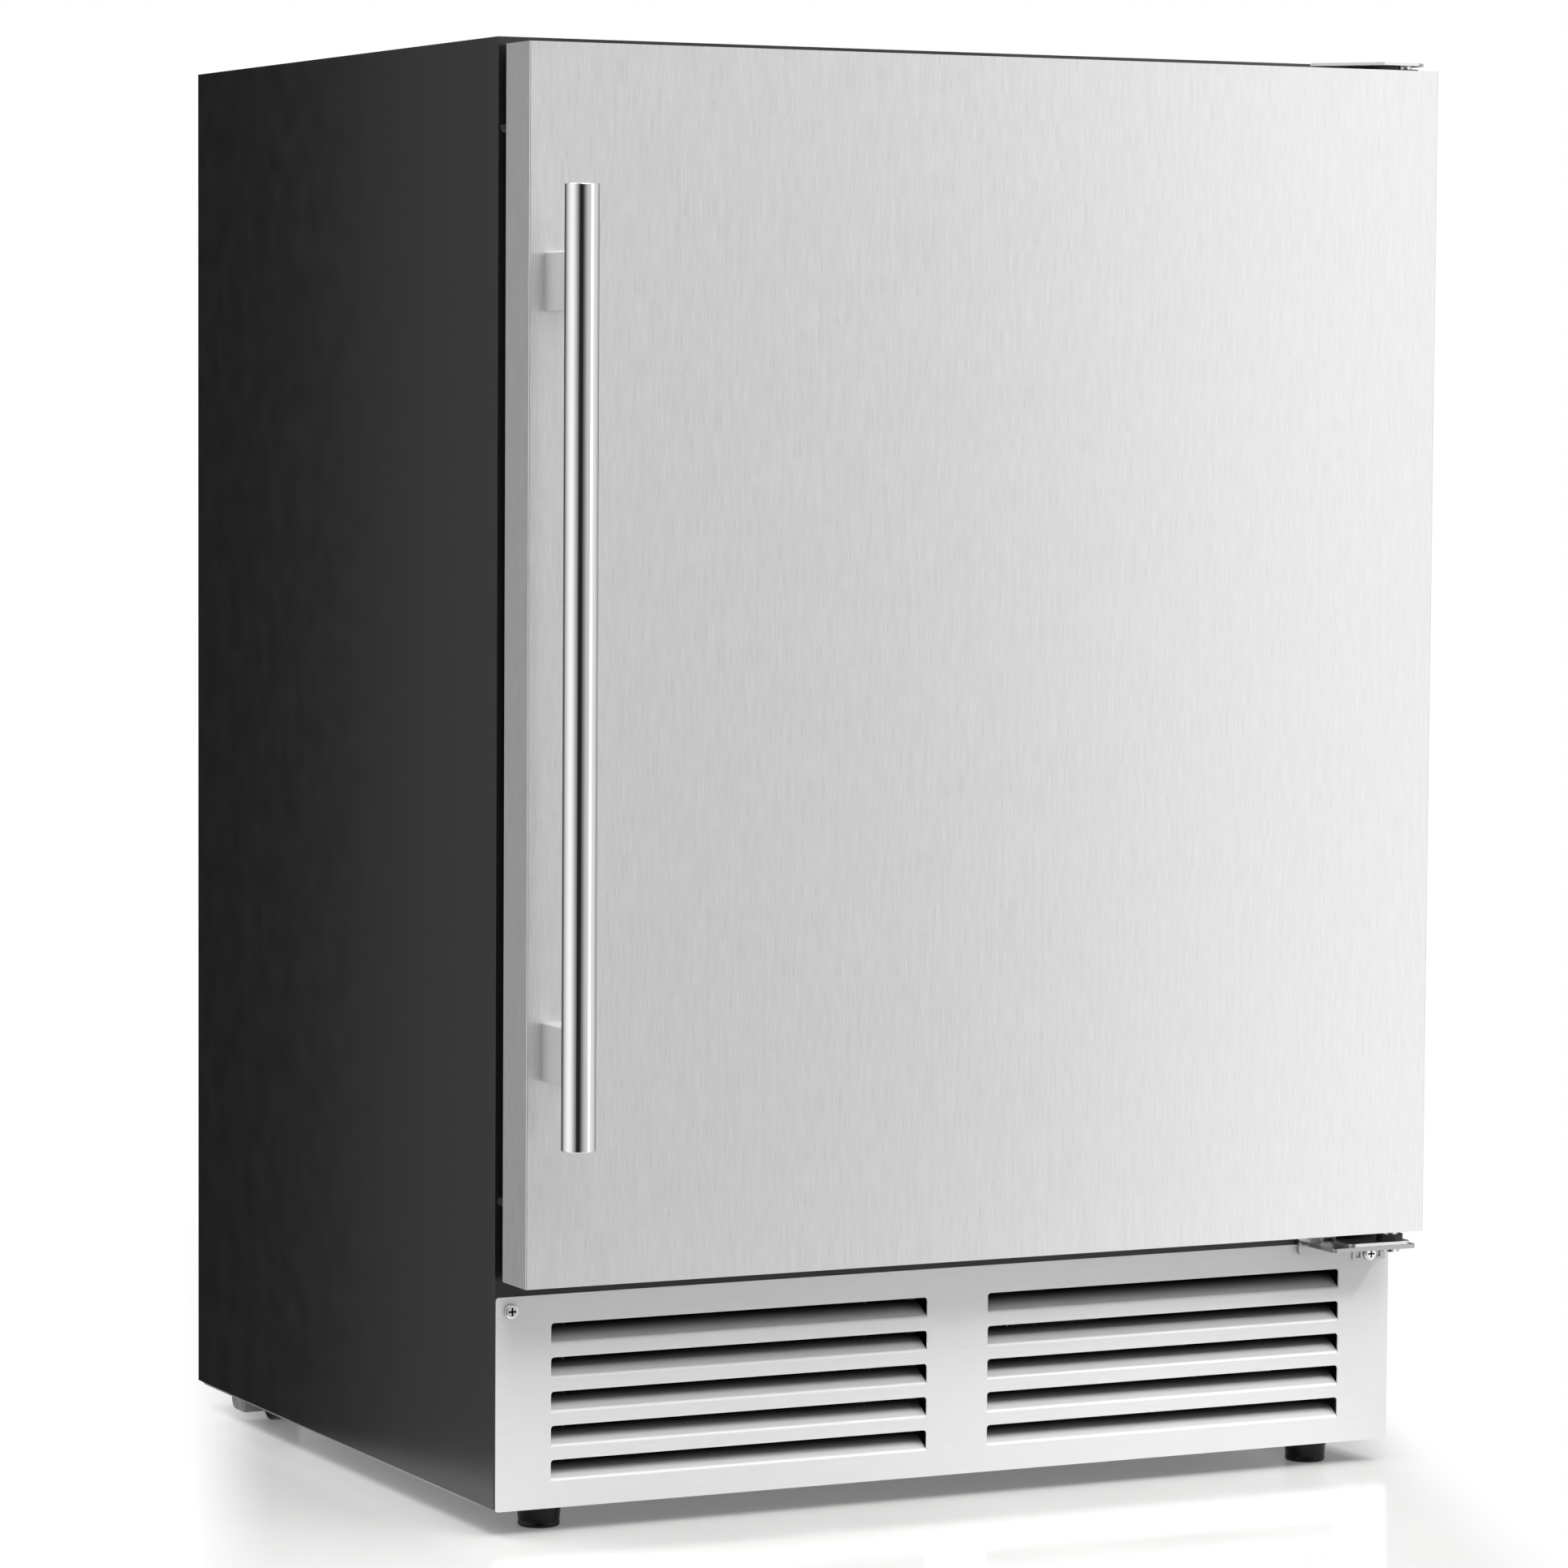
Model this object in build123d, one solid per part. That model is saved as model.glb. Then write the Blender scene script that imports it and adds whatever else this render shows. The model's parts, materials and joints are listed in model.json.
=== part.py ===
"""Undercounter refrigerator: black cabinet, brushed steel door on two pins, louvred front grille.

Lengths are millimetres. Every function works with x = 0 at the middle of the cabinet,
y = 0 at the plane of the cabinet's front edges and z = 0 at the floor. write_parts then moves
everything along y, so that the origin ends up under the middle of the whole refrigerator.
"""

import math
import os

from build123d import *

# Cabinet
CABINET_WIDTH = 595.0
CABINET_DEPTH = 483.3
PANEL_BOTTOM = 16.4
CABINET_TOP = 851.4
SHEET = 0.8
GRILLE_TOP = 138.3
RAIL_TOP = 166.0
FRONT_FLANGE = 33.7

# Cold compartment
LINER_WALL = 2.0
CAVITY_HALF = 250.0
CAVITY_FLOOR = 178.0
CAVITY_TOP = 806.0
CAVITY_DEPTH = 430.0
STEP_DEPTH = 248.0
STEP_TOP = 342.0
SHELF_LEVELS = (400.0, 500.0, 600.0, 700.0)
FITTED_LEVELS = {"shelf_lower": 400.0, "shelf_upper": 600.0}

# Machine bay
DECK_BOTTOM = 139.2
DECK = 1.0
BAY_DEPTH = 289.0
BAY_TOP = 300.0
BASE_BOTTOM = 15.9
BASE = 1.2
COVER_FRONT = 479.0
COVER_HALF = 295.5
COVER_SHEET = 1.0
COVER_SCREW_X = 284.0
COVER_SCREW_Z = (44.0, 288.0)

# Door
DOOR_GAP = 6.2
DOOR_THICKNESS = 33.2
DOOR_LEFT = -295.0
DOOR_RIGHT = 297.0
DOOR_BOTTOM = 148.3
DOOR_TOP = 847.1
DOOR_SHEET = 1.0
DOOR_EDGE_RADIUS = 0.7
PIVOT_X = 284.0
PIVOT_Y = -22.5
PIN_RADIUS = 4.0
RUNNING_CLEARANCE = 0.05

# Handle
BAR_RADIUS = 9.7
BAR_X = -279.0
BAR_OFFSET = 36.0
BAR_BOTTOM = 230.7
BAR_TOP = 767.4
STANDOFF_WIDTH = 13.5
STANDOFF_HEIGHT = 33.5
STANDOFF_CENTRES = (282.6, 714.0)
HANDLE_SCREW_RADIUS = 2.5

# Grille
GRILLE_LEFT = -296.5
GRILLE_RIGHT = 297.3
GRILLE_BOTTOM = 14.9
GRILLE_SHEET = 1.0
SLOT_INNER = 20.15
SLOT_OUTER = 262.0
SLOT_TOP = 121.6
SLOT_HEIGHT = 11.6
SLOT_PITCH = 19.75
SLOT_ROWS = 5
BLADE_RUN = 14.4
BLADE_ANGLE = 30.0
BLADE_BEND = 2.5
GRILLE_SCREW_Z = 130.0
GRILLE_SCREWS = ((-287.0, 0.0), (283.3, -1.0))
FLANGE_SCREWS = (-75.0, 48.0, 277.0)
FLANGE_SCREW_Y = 12.0
SCREW_RADIUS = 2.1

# Feet and rollers
FOOT_X = 256.9
FOOT_Y = 28.7
FOOT_HEIGHT = 13.5
STUD_RADIUS = 4.0
ROLLER_RADIUS = 13.0
ROLLER_Y = 415.0
ROLLER_INNER = 265.0
ROLLER_OUTER = 275.0
AXLE_RADIUS = 3.0
BRACKET_INNER = 260.5
BRACKET_OUTER = 286.0
BRACKET_SHEET = 1.5
BRACKET_FRONT = 400.0
BRACKET_WEB = 430.0
BRACKET_BACK = 453.0
BRACKET_BOTTOM = 3.0
BRACKET_TOP = 32.0

# Hinges
TAB_BOTTOM = 126.8
TONGUE_BOTTOM = 136.6
TONGUE_TOP = 139.1
STOP_TOP = 141.1
SPACER_TOP = 145.1
COLLAR_TOP = 146.8
BUSH_FLANGE = 1.2
BUSH_LENGTH = 18.0
BUSH_RADIUS = 6.5
HINGE_PLATE = 1.7
HINGE_STEP = 1.2
TOP_SCREWS = ((262.0, 28.0), (284.0, 28.0))
BOTTOM_SCREWS = (236.0, 251.0)
BOTTOM_SCREW_Z = 142.6

# Door inside
LINER_THICKNESS = 2.0
DYKE_HALF = 240.0
DYKE_BOTTOM = 188.0
DYKE_TOP = 796.0
DYKE_END = 12.0
GASKET_HALF = 280.0
GASKET_BOTTOM = 150.2
GASKET_TOP = 835.0
GASKET_WIDTH = 14.0

# Machine bay contents
COMPRESSOR_X = 135.0
COMPRESSOR_Y = 385.0
COMPRESSOR_BOLTS = [(COMPRESSOR_X + dx, COMPRESSOR_Y + dy) for dx in (-80, 80) for dy in (-44, 44)]
GROMMET_TOP = 31.0
DRAIN_X = 135.0
DRAIN_Y = 415.0
DRAIN_RADIUS = 6.0
LINE_Y = 456.0
SUCTION_X = 56.0
SUCTION_RADIUS = 3.5
CAPILLARY_X = 40.0
CAPILLARY_RADIUS = 1.2
COIL_END_X = 35.0
SUCTION_Z = 620.0
CAPILLARY_Z = 740.0
LINER_LINE_HOLES = ((SUCTION_X, SUCTION_Z, SUCTION_RADIUS), (CAPILLARY_X, CAPILLARY_Z, CAPILLARY_RADIUS))
CONDENSER_TUBE_Y = (52.0, 72.0)
CONDENSER_TUBE_Z = (36.0, 60.0, 84.0, 108.0)
CONDENSER_LEFT = -236.0
CONDENSER_RIGHT = -44.0
CONDENSER_TUBE = 3.5
FAN_X = -140.0
FAN_Z = 77.0
SHROUD_Y = 92.0
GLAND_X = -180.0
GLAND_Z = 60.0

# Cold side contents
EVAPORATOR_TUBE_Y = (405.0, 418.0)
EVAPORATOR_TUBE_Z = (620.0, 660.0, 700.0, 740.0)
COLD_FAN_X = 120.0
COLD_FAN_Z = 680.0
BUTTON_X = (34.0, 62.0)
BUTTON_Z = 791.0
HOUSING_FRONT = 19.0

# Derived from the dimensions above
HALF_WIDTH = CABINET_WIDTH / 2
INNER_HALF = HALF_WIDTH - SHEET
BASE_TOP = BASE_BOTTOM + BASE
DECK_TOP = DECK_BOTTOM + DECK
DOOR_BACK = -DOOR_GAP
DOOR_FRONT = -DOOR_GAP - DOOR_THICKNESS
LINER_BACK = DOOR_BACK - DOOR_SHEET
LINER_FRONT = LINER_BACK - LINER_THICKNESS
BAR_Y = DOOR_FRONT - BAR_OFFSET
REAR_INNER = CABINET_DEPTH - SHEET
COVER_SCREWS = [(x, z) for x in (-COVER_SCREW_X, COVER_SCREW_X) for z in COVER_SCREW_Z]
Y_SHIFT = -(CABINET_DEPTH + BAR_Y - BAR_RADIUS) / 2


def block(x, y, z):
    """A box between the two ends given for each axis."""
    ends = (x, y, z)
    size = [high - low for low, high in ends]
    centre = [(high + low) / 2 for low, high in ends]
    return Pos(*centre) * Box(*size)


def rod(start, end, radius):
    """A round bar between two points."""
    axis = Vector(*end) - Vector(*start)
    bar = Cylinder(radius, axis.length, align=(Align.CENTER, Align.CENTER, Align.MIN))
    return Plane(origin=start, z_dir=axis) * bar


def ring(start, end, outer, inner):
    """A round tube between two points."""
    return rod(start, end, outer) - rod(start, end, inner)


def pipe(points, bend, radius):
    """A round bar along straight runs joined by tangent arcs."""
    path = FilletPolyline(*points, radius=bend)
    return sweep(Plane(origin=path @ 0, z_dir=path % 0) * Circle(radius), path=path)


def frame(x, y, z, width):
    """A rectangular ring in the XZ plane, its outer edges given, of one width all round."""
    hole_x = (x[0] + width, x[1] - width)
    hole_z = (z[0] + width, z[1] - width)
    return block(x, y, z) - block(hole_x, (y[0] - 1, y[1] + 1), hole_z)


def mirrored(x, side):
    """An x range given for the right side, put on the side asked for."""
    return tuple(sorted((x[0] * side, x[1] * side)))


def both_sides(shape):
    """A shape and its mirror image in the cabinet's middle plane."""
    return [shape, mirror(shape, about=Plane.YZ)]


# ---------------------------------------------------------------- cabinet shell


def side_panel(side):
    """Coated side sheet with a front flange for the door gasket; the right one makes room for the grille."""
    sheet_x = mirrored((INNER_HALF, HALF_WIDTH), side)
    sheet = block(sheet_x, (0, CABINET_DEPTH), (PANEL_BOTTOM, CABINET_TOP))
    if side > 0:
        sheet -= block(sheet_x, (-1, GRILLE_SHEET), (0, GRILLE_TOP + 0.2))
    flange_x = mirrored((HALF_WIDTH - FRONT_FLANGE - SHEET, INNER_HALF), side)
    flange = block(flange_x, (0, SHEET), (RAIL_TOP, CAVITY_TOP + 10))
    panel = sheet + flange
    front_edge = panel.edges().filter_by(Axis.Z).filter_by_position(Axis.Y, -0.01, 0.01)
    corner = front_edge.sort_by(lambda edge: -abs(edge.center().X))[0]
    return chamfer(corner, SHEET * 0.5)


def top_panel():
    """Top sheet with its own front flange."""
    sheet = block((-INNER_HALF, INNER_HALF), (0, REAR_INNER), (CABINET_TOP - SHEET, CABINET_TOP))
    flange = block((-INNER_HALF, INNER_HALF), (0, SHEET), (CAVITY_TOP + 10, CABINET_TOP - SHEET))
    return sheet + flange


def front_rail():
    """Black rail between the door and the grille, which carries the lower hinge."""
    face = block((-INNER_HALF, INNER_HALF), (0, SHEET), (DECK_BOTTOM - SHEET, RAIL_TOP))
    lip = block((-INNER_HALF, INNER_HALF), (SHEET, 20), (DECK_BOTTOM - SHEET, DECK_BOTTOM))
    return face + lip


def rear_panel():
    """Rear sheet over the cold compartment, with two pressed stiffening ribs."""
    sheet = block((-INNER_HALF, INNER_HALF), (REAR_INNER, CABINET_DEPTH), (304.5, CABINET_TOP - SHEET))
    for x in (-150, 150):
        sheet -= block((x - 20, x + 20), (CABINET_DEPTH - 0.4, CABINET_DEPTH + 1), (340, 820))
    return sheet


def compressor_cover():
    """Vented rear cover of the machine bay, set a little forward of the rear sheet."""
    back = COVER_FRONT + COVER_SHEET
    cover = block((-COVER_HALF, COVER_HALF), (COVER_FRONT, back), (PANEL_BOTTOM, BAY_TOP))
    for column in range(12):
        for row in range(5):
            x = -231 + 42 * column
            z = 110 + 34 * row
            slot = Pos(x, COVER_FRONT, z) * Rot(90, 0, 0) * extrude(SlotOverall(30, 6), 2, both=True)
            cover -= slot
    cover -= rod((GLAND_X, COVER_FRONT - 1, GLAND_Z), (GLAND_X, back + 1, GLAND_Z), 8.2)
    return cover - cover_screw_holes()


def cover_screw_holes():
    """Rods that cut the holes of the rear cover's screws."""
    y_range = (COVER_FRONT - 2, COVER_FRONT + 2)
    return [rod((x, y_range[0], z), (x, y_range[1], z), SCREW_RADIUS + 0.1) for x, z in COVER_SCREWS]


def base_plate():
    """Galvanised base pan with side flanges, thread collars for the feet and roller openings."""
    plate = block((-INNER_HALF, INNER_HALF), (2.4, COVER_FRONT), (BASE_BOTTOM, BASE_TOP))
    for side in (-1, 1):
        hem_x = mirrored((INNER_HALF - 1, INNER_HALF), side)
        plate += block(hem_x, (25, COVER_FRONT - 4), (BASE_BOTTOM - 0.8, 35))
        plate += block(mirrored((270, INNER_HALF), side), (COVER_FRONT - 1, COVER_FRONT), (BASE_TOP, 56))
        foot = (side * FOOT_X, FOOT_Y)
        plate += rod((*foot, BASE_TOP), (*foot, BASE_TOP + 8), 7.5)
        plate -= rod((*foot, BASE_BOTTOM - 1), (*foot, BASE_TOP + 9), STUD_RADIUS + RUNNING_CLEARANCE)
        plate -= block(mirrored((256, 288), side), (396, 456), (BASE_BOTTOM - 1, BASE_TOP + 1))
    for x in FLANGE_SCREWS:
        hole = ((x, FLANGE_SCREW_Y, BASE_BOTTOM - 1), (x, FLANGE_SCREW_Y, BASE_TOP + 1))
        plate -= rod(*hole, SCREW_RADIUS + 0.1)
    for x, y in COMPRESSOR_BOLTS:
        plate -= rod((x, y, BASE_BOTTOM - 1), (x, y, BASE_TOP + 1), 3.2)
    return plate - cover_screw_holes()


def bay_deck():
    """Bent sheet that roofs the machine bay, low at the front and stepped up over the compressor."""
    width = (-INNER_HALF, INNER_HALF)
    front = block(width, (SHEET, BAY_DEPTH + DECK), (DECK_BOTTOM, DECK_TOP))
    riser = block(width, (BAY_DEPTH, BAY_DEPTH + DECK), (DECK_TOP, BAY_TOP + DECK))
    rear = block(width, (BAY_DEPTH + DECK, REAR_INNER), (BAY_TOP, BAY_TOP + DECK))
    flange = block(width, (COVER_FRONT - DECK, COVER_FRONT), (BAY_TOP - 22, BAY_TOP))
    deck = front + riser + rear + flange - cover_screw_holes()
    deck -= rod((DRAIN_X, DRAIN_Y, BAY_TOP - 1), (DRAIN_X, DRAIN_Y, BAY_TOP + 2), DRAIN_RADIUS + 0.2)
    for line_x, line_radius in ((SUCTION_X, SUCTION_RADIUS), (CAPILLARY_X, CAPILLARY_RADIUS)):
        deck -= rod((line_x, LINE_Y, BAY_TOP - 1), (line_x, LINE_Y, BAY_TOP + 2), line_radius + 0.3)
    return deck


def liner_envelope(wall):
    """The cold compartment's stepped solid, grown by a wall thickness."""
    half = CAVITY_HALF + wall
    back = CAVITY_DEPTH + wall
    whole = block((-half, half), (SHEET, back), (CAVITY_FLOOR - wall, CAVITY_TOP + wall))
    step = block((-half - 1, half + 1), (STEP_DEPTH + wall, back + 1), (0, STEP_TOP - wall))
    return whole - step


def liner_flange():
    """The liner's front flange, tucked behind the cabinet's front flanges."""
    return block((-268, 268), (SHEET, SHEET + LINER_WALL), (160, 824))


def inner_liner():
    """Moulded liner of the cold compartment, with shelf ledges on both walls."""
    liner = liner_envelope(LINER_WALL) + liner_flange()
    cavity = liner_envelope(0) + block((-CAVITY_HALF, CAVITY_HALF), (-1, 5), (CAVITY_FLOOR, CAVITY_TOP))
    liner -= cavity
    upright = liner.edges().filter_by(Axis.Z)
    liner = fillet(upright.filter_by_position(Axis.Y, CAVITY_DEPTH - 0.1, CAVITY_DEPTH + 0.1), 12)
    for level in SHELF_LEVELS:
        for side in (-1, 1):
            liner += block(mirrored((236, CAVITY_HALF + 0.5), side), (16, 388), (level - 5, level))
            liner += block(mirrored((241, CAVITY_HALF + 0.5), side), (60, 388), (level + 9, level + 13))
    liner -= rod((DRAIN_X, DRAIN_Y, STEP_TOP - 3), (DRAIN_X, DRAIN_Y, STEP_TOP + 1), 4)
    for x, z, radius in LINER_LINE_HOLES:
        liner -= rod((x, CAVITY_DEPTH - 1, z), (x, CAVITY_DEPTH + 3, z), radius + 0.3)
    return liner


def cabinet_foam():
    """Insulation that fills the space between the liner, the outer sheets and the deck."""
    foam = block((-INNER_HALF, INNER_HALF), (SHEET, REAR_INNER), (DECK_TOP, CABINET_TOP - SHEET))
    foam -= block((-HALF_WIDTH, HALF_WIDTH), (BAY_DEPTH, CABINET_DEPTH), (0, BAY_TOP + DECK))
    foam -= liner_envelope(LINER_WALL) + liner_flange()
    foam -= rod((DRAIN_X, DRAIN_Y, BAY_TOP), (DRAIN_X, DRAIN_Y, STEP_TOP), DRAIN_RADIUS + 0.1)
    foam -= suction_line(SUCTION_RADIUS + 0.3)
    foam -= capillary_line(CAPILLARY_RADIUS + 0.3)
    return foam


def hole_plugs():
    """Small plugs in the spare hinge holes of the left front flange."""
    plugs = []
    for z in (193.4, 800.0):
        plugs.append(rod((-293.5, -0.8, z), (-293.5, 0, z), 2.4))
    return plugs


# ---------------------------------------------------------------- grille, feet, rollers


def louvre_section(start):
    """Section of a louvre blade: a bend out of the face at a height, then a flat run inward and up."""
    turn = math.radians(90 - BLADE_ANGLE)
    curves = []
    for radius in (BLADE_BEND, BLADE_BEND - GRILLE_SHEET):
        angles = (0, turn / 2, turn)
        curves.append([(BLADE_BEND - radius * math.cos(a), start + radius * math.sin(a)) for a in angles])
    run = (BLADE_RUN * math.sin(turn), BLADE_RUN * math.cos(turn))
    front, back = curves
    tips = [(curve[-1][0] + run[0], curve[-1][1] + run[1]) for curve in curves]
    return make_face(
        [
            ThreePointArc(*front),
            Line(front[-1], tips[0]),
            Line(tips[0], tips[1]),
            Line(tips[1], back[-1]),
            ThreePointArc(*back[::-1]),
            Line(back[0], front[0]),
        ]
    )


def grille():
    """Sheet grille with two columns of louvres, each blade bent in from its slot's lower edge."""
    face = block((GRILLE_LEFT, GRILLE_RIGHT), (0, GRILLE_SHEET), (GRILLE_BOTTOM, GRILLE_TOP))
    corners = face.edges().filter_by(Axis.Y)
    face = fillet(corners, 2.0)
    flange_x = (GRILLE_LEFT + 2, GRILLE_RIGHT - 3)
    face += block(flange_x, (0, 22), (GRILLE_BOTTOM, GRILLE_BOTTOM + GRILLE_SHEET))
    face += block(flange_x, (0, 9), (GRILLE_TOP - GRILLE_SHEET, GRILLE_TOP))
    for row in range(SLOT_ROWS):
        top = SLOT_TOP - SLOT_PITCH * row
        bottom = top - SLOT_HEIGHT - BLADE_BEND / 2
        blade = extrude(Plane.YZ * louvre_section(bottom), SLOT_OUTER - SLOT_INNER)
        for side in (-1, 1):
            slot = block(mirrored((SLOT_INNER, SLOT_OUTER), side), (-1, 2), (bottom, top))
            upper = slot.edges().filter_by(Axis.Y).group_by(Axis.Z)[-1]
            face -= fillet(upper, 2.0)
            face += Pos(SLOT_INNER if side > 0 else -SLOT_OUTER, 0, 0) * blade
    for x, _ in GRILLE_SCREWS:
        face -= rod((x, -1, GRILLE_SCREW_Z), (x, 2, GRILLE_SCREW_Z), SCREW_RADIUS + 0.1)
    for x in FLANGE_SCREWS:
        hole = ((x, FLANGE_SCREW_Y, GRILLE_BOTTOM - 1), (x, FLANGE_SCREW_Y, GRILLE_BOTTOM + 2))
        face -= rod(*hole, SCREW_RADIUS + 0.1)
    return face


def cross_head_screw(head_radius, head_height, shank_radius, length):
    """A pan head screw with a cross recess, its head on the XY plane and its shank below it."""
    dome = extrude(Circle(head_radius), head_height)
    dome = fillet(dome.edges().group_by(Axis.Z)[-1], head_height * 0.6)
    for angle in (0, 90):
        recess = Pos(0, 0, head_height) * Box(head_radius * 1.1, head_radius * 0.26, head_height)
        dome -= Rot(0, 0, angle) * recess
    shank = Pos(0, 0, -length) * extrude(Circle(shank_radius), length)
    return dome + shank


def grille_screws():
    """The two large cross-head screws at the grille's upper corners, the right one over the hinge's tab."""
    screw = Rot(90, 0, 0) * cross_head_screw(4.3, 2.0, SCREW_RADIUS, 9)
    return [Pos(x, y, GRILLE_SCREW_Z) * screw for x, y in GRILLE_SCREWS]


def panel_screws():
    """Small identical screws: under the grille's lower flange and round the rear cover."""
    screw = cross_head_screw(3.5, 1.6, SCREW_RADIUS, 8)
    under = Rot(180, 0, 0) * screw
    screws = [Pos(x, FLANGE_SCREW_Y, GRILLE_BOTTOM) * under for x in FLANGE_SCREWS]
    rear = Rot(-90, 0, 0) * screw
    screws += [Pos(x, COVER_FRONT + COVER_SHEET, z) * rear for x, z in COVER_SCREWS]
    return screws


def grille_brackets():
    """Angles behind the grille's ends that its two large screws go into."""
    brackets = []
    for x, _ in GRILLE_SCREWS:
        side = math.copysign(1, x)
        plate = block(mirrored((272, INNER_HALF), side), (1.0, 2.2), (36, 134))
        leg = block(mirrored((INNER_HALF - 1.2, INNER_HALF), side), (2.2, 22), (36, 134))
        hole = rod((x, 0, GRILLE_SCREW_Z), (x, 3, GRILLE_SCREW_Z), SCREW_RADIUS + 0.05)
        brackets.append(plate + leg - hole)
    return brackets


def foot(side):
    """Levelling foot: a tapered black puck on a threaded stud."""
    centre = Pos(side * FOOT_X, FOOT_Y, 0)
    puck = Cone(12.2, 13.25, FOOT_HEIGHT, align=(Align.CENTER, Align.CENTER, Align.MIN))
    puck = fillet(puck.edges().group_by(Axis.Z)[-1], 1.5)
    puck = chamfer(puck.edges().group_by(Axis.Z)[0], 0.6)
    stud = rod((0, 0, FOOT_HEIGHT - 1), (0, 0, 44), STUD_RADIUS)
    return centre * (puck + stud)


def roller_brackets():
    """Bent brackets through the base pan at the back, each with a cheek that holds an axle."""
    height = (BRACKET_BOTTOM, BRACKET_TOP)
    web_back = BRACKET_WEB + BRACKET_SHEET
    cheek_x = (BRACKET_INNER, BRACKET_INNER + BRACKET_SHEET)
    bracket = block(cheek_x, (BRACKET_FRONT, BRACKET_BACK), height)
    bracket += block((cheek_x[1], BRACKET_OUTER), (BRACKET_WEB, web_back), height)
    cheek = block((BRACKET_OUTER - BRACKET_SHEET, BRACKET_OUTER), (web_back, BRACKET_BACK), height)
    bracket += fillet(cheek.edges().filter_by(Axis.X).group_by(Axis.Z)[0].sort_by(Axis.Y)[-1], 7)
    tab_z = (BASE_TOP, BASE_TOP + BRACKET_SHEET)
    bracket += block((BRACKET_INNER - 20.5, BRACKET_INNER), (BRACKET_FRONT, BRACKET_BACK), tab_z)
    centre = (ROLLER_Y, ROLLER_RADIUS)
    bracket -= rod((BRACKET_INNER - 1, *centre), (cheek_x[1] + 1, *centre), AXLE_RADIUS)
    return both_sides(bracket)


def roller_axles():
    """Stub axles riveted in the bracket cheeks, with a collar each side of the roller."""
    centre = (ROLLER_Y, ROLLER_RADIUS)
    tip = ROLLER_OUTER + 2.5
    axle = rod((BRACKET_INNER - 2, *centre), (tip, *centre), AXLE_RADIUS)
    axle += rod((BRACKET_INNER - 3, *centre), (BRACKET_INNER, *centre), 4.0)
    axle += rod((BRACKET_INNER + BRACKET_SHEET, *centre), (ROLLER_INNER - 0.6, *centre), 4.6)
    axle += rod((ROLLER_OUTER + 0.6, *centre), (tip, *centre), 4.6)
    return both_sides(axle)


def roller(side):
    """Hard black wheel with a rounded tread."""
    centre = (ROLLER_Y, ROLLER_RADIUS)
    wheel = rod((ROLLER_INNER, *centre), (ROLLER_OUTER, *centre), ROLLER_RADIUS)
    wheel = fillet(wheel.edges(), 1.2)
    wheel -= rod((ROLLER_INNER - 1, *centre), (ROLLER_OUTER + 1, *centre), AXLE_RADIUS + RUNNING_CLEARANCE)
    return wheel if side > 0 else mirror(wheel, about=Plane.YZ)


# ---------------------------------------------------------------- hinges


def pivot_rod(low, high, radius):
    """An upright round bar on the door's pivot line, between two heights."""
    return rod((PIVOT_X, PIVOT_Y, low), (PIVOT_X, PIVOT_Y, high), radius)


def hinge_top_bracket():
    """Plate on the cabinet's top, stepped down a little where it reaches forward over the door."""
    footprint = Polyline((231, -HINGE_PLATE), (294, -HINGE_PLATE), (294, 44), (254, 44), close=True)
    rear = Pos(0, 0, CABINET_TOP) * extrude(make_face(footprint), HINGE_PLATE)
    rear = fillet(rear.edges().filter_by(Axis.Z).group_by(Axis.Y)[-1], 4)
    outline = Polyline((231, -0.3), (262, -35), (286, -35), (293.5, -28), (293.5, -0.3), close=True)
    plate = rear + Pos(0, 0, CABINET_TOP - HINGE_STEP) * extrude(make_face(outline), HINGE_PLATE)
    plate -= pivot_rod(CABINET_TOP - 2, CABINET_TOP + 3, PIN_RADIUS)
    for x, y in TOP_SCREWS:
        plate -= Pos(x, y, 0) * countersunk_screw(CABINET_TOP + HINGE_PLATE, HINGE_PLATE + 1)
    return plate


def countersunk_screw(top, length):
    """A countersunk screw standing upright, its head's top at the height given."""
    head = Cone(2.5, 4.5, HINGE_PLATE, align=(Align.CENTER, Align.CENTER, Align.MAX))
    shank = Cylinder(2.5, length, align=(Align.CENTER, Align.CENTER, Align.MAX))
    return Pos(0, 0, top) * (head + shank)


def hinge_top_pin():
    """Upper hinge pin, riveted in its bracket and turning in the door's upper bush."""
    return pivot_rod(DOOR_TOP - 12, CABINET_TOP + HINGE_PLATE - HINGE_STEP, PIN_RADIUS)


def hinge_bottom_bracket():
    """Upright flange on the front rail with a tongue under the door's corner."""
    flange = block((232, 258), (-3, 0), (131.9, 147))
    flange = fillet(flange.edges().filter_by(Axis.Y), 3)
    tongue = block((240, HALF_WIDTH), (-31, 0), (TONGUE_BOTTOM, TONGUE_TOP))
    tongue = fillet(tongue.edges().filter_by(Axis.Z).group_by(Axis.Y)[0], 2)
    tab = block((271.3, 294.5), (-1, 0), (TAB_BOTTOM, TONGUE_BOTTOM))
    for x in (275.2, 289.3):
        tab -= block((x - 1.6, x + 1.6), (-2, 1), (TAB_BOTTOM + 1, TONGUE_BOTTOM - 0.8))
    x, y = GRILLE_SCREWS[1]
    tab -= rod((x, y - 1, GRILLE_SCREW_Z), (x, y + 2, GRILLE_SCREW_Z), SCREW_RADIUS + 0.1)
    bracket = flange + tongue + tab
    bracket -= pivot_rod(TONGUE_BOTTOM - 1, TONGUE_TOP + 1, PIN_RADIUS)
    for x in BOTTOM_SCREWS:
        bracket -= Pos(x, 0, BOTTOM_SCREW_Z) * Rot(90, 0, 0) * countersunk_screw(3, 4)
    return bracket


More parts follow.
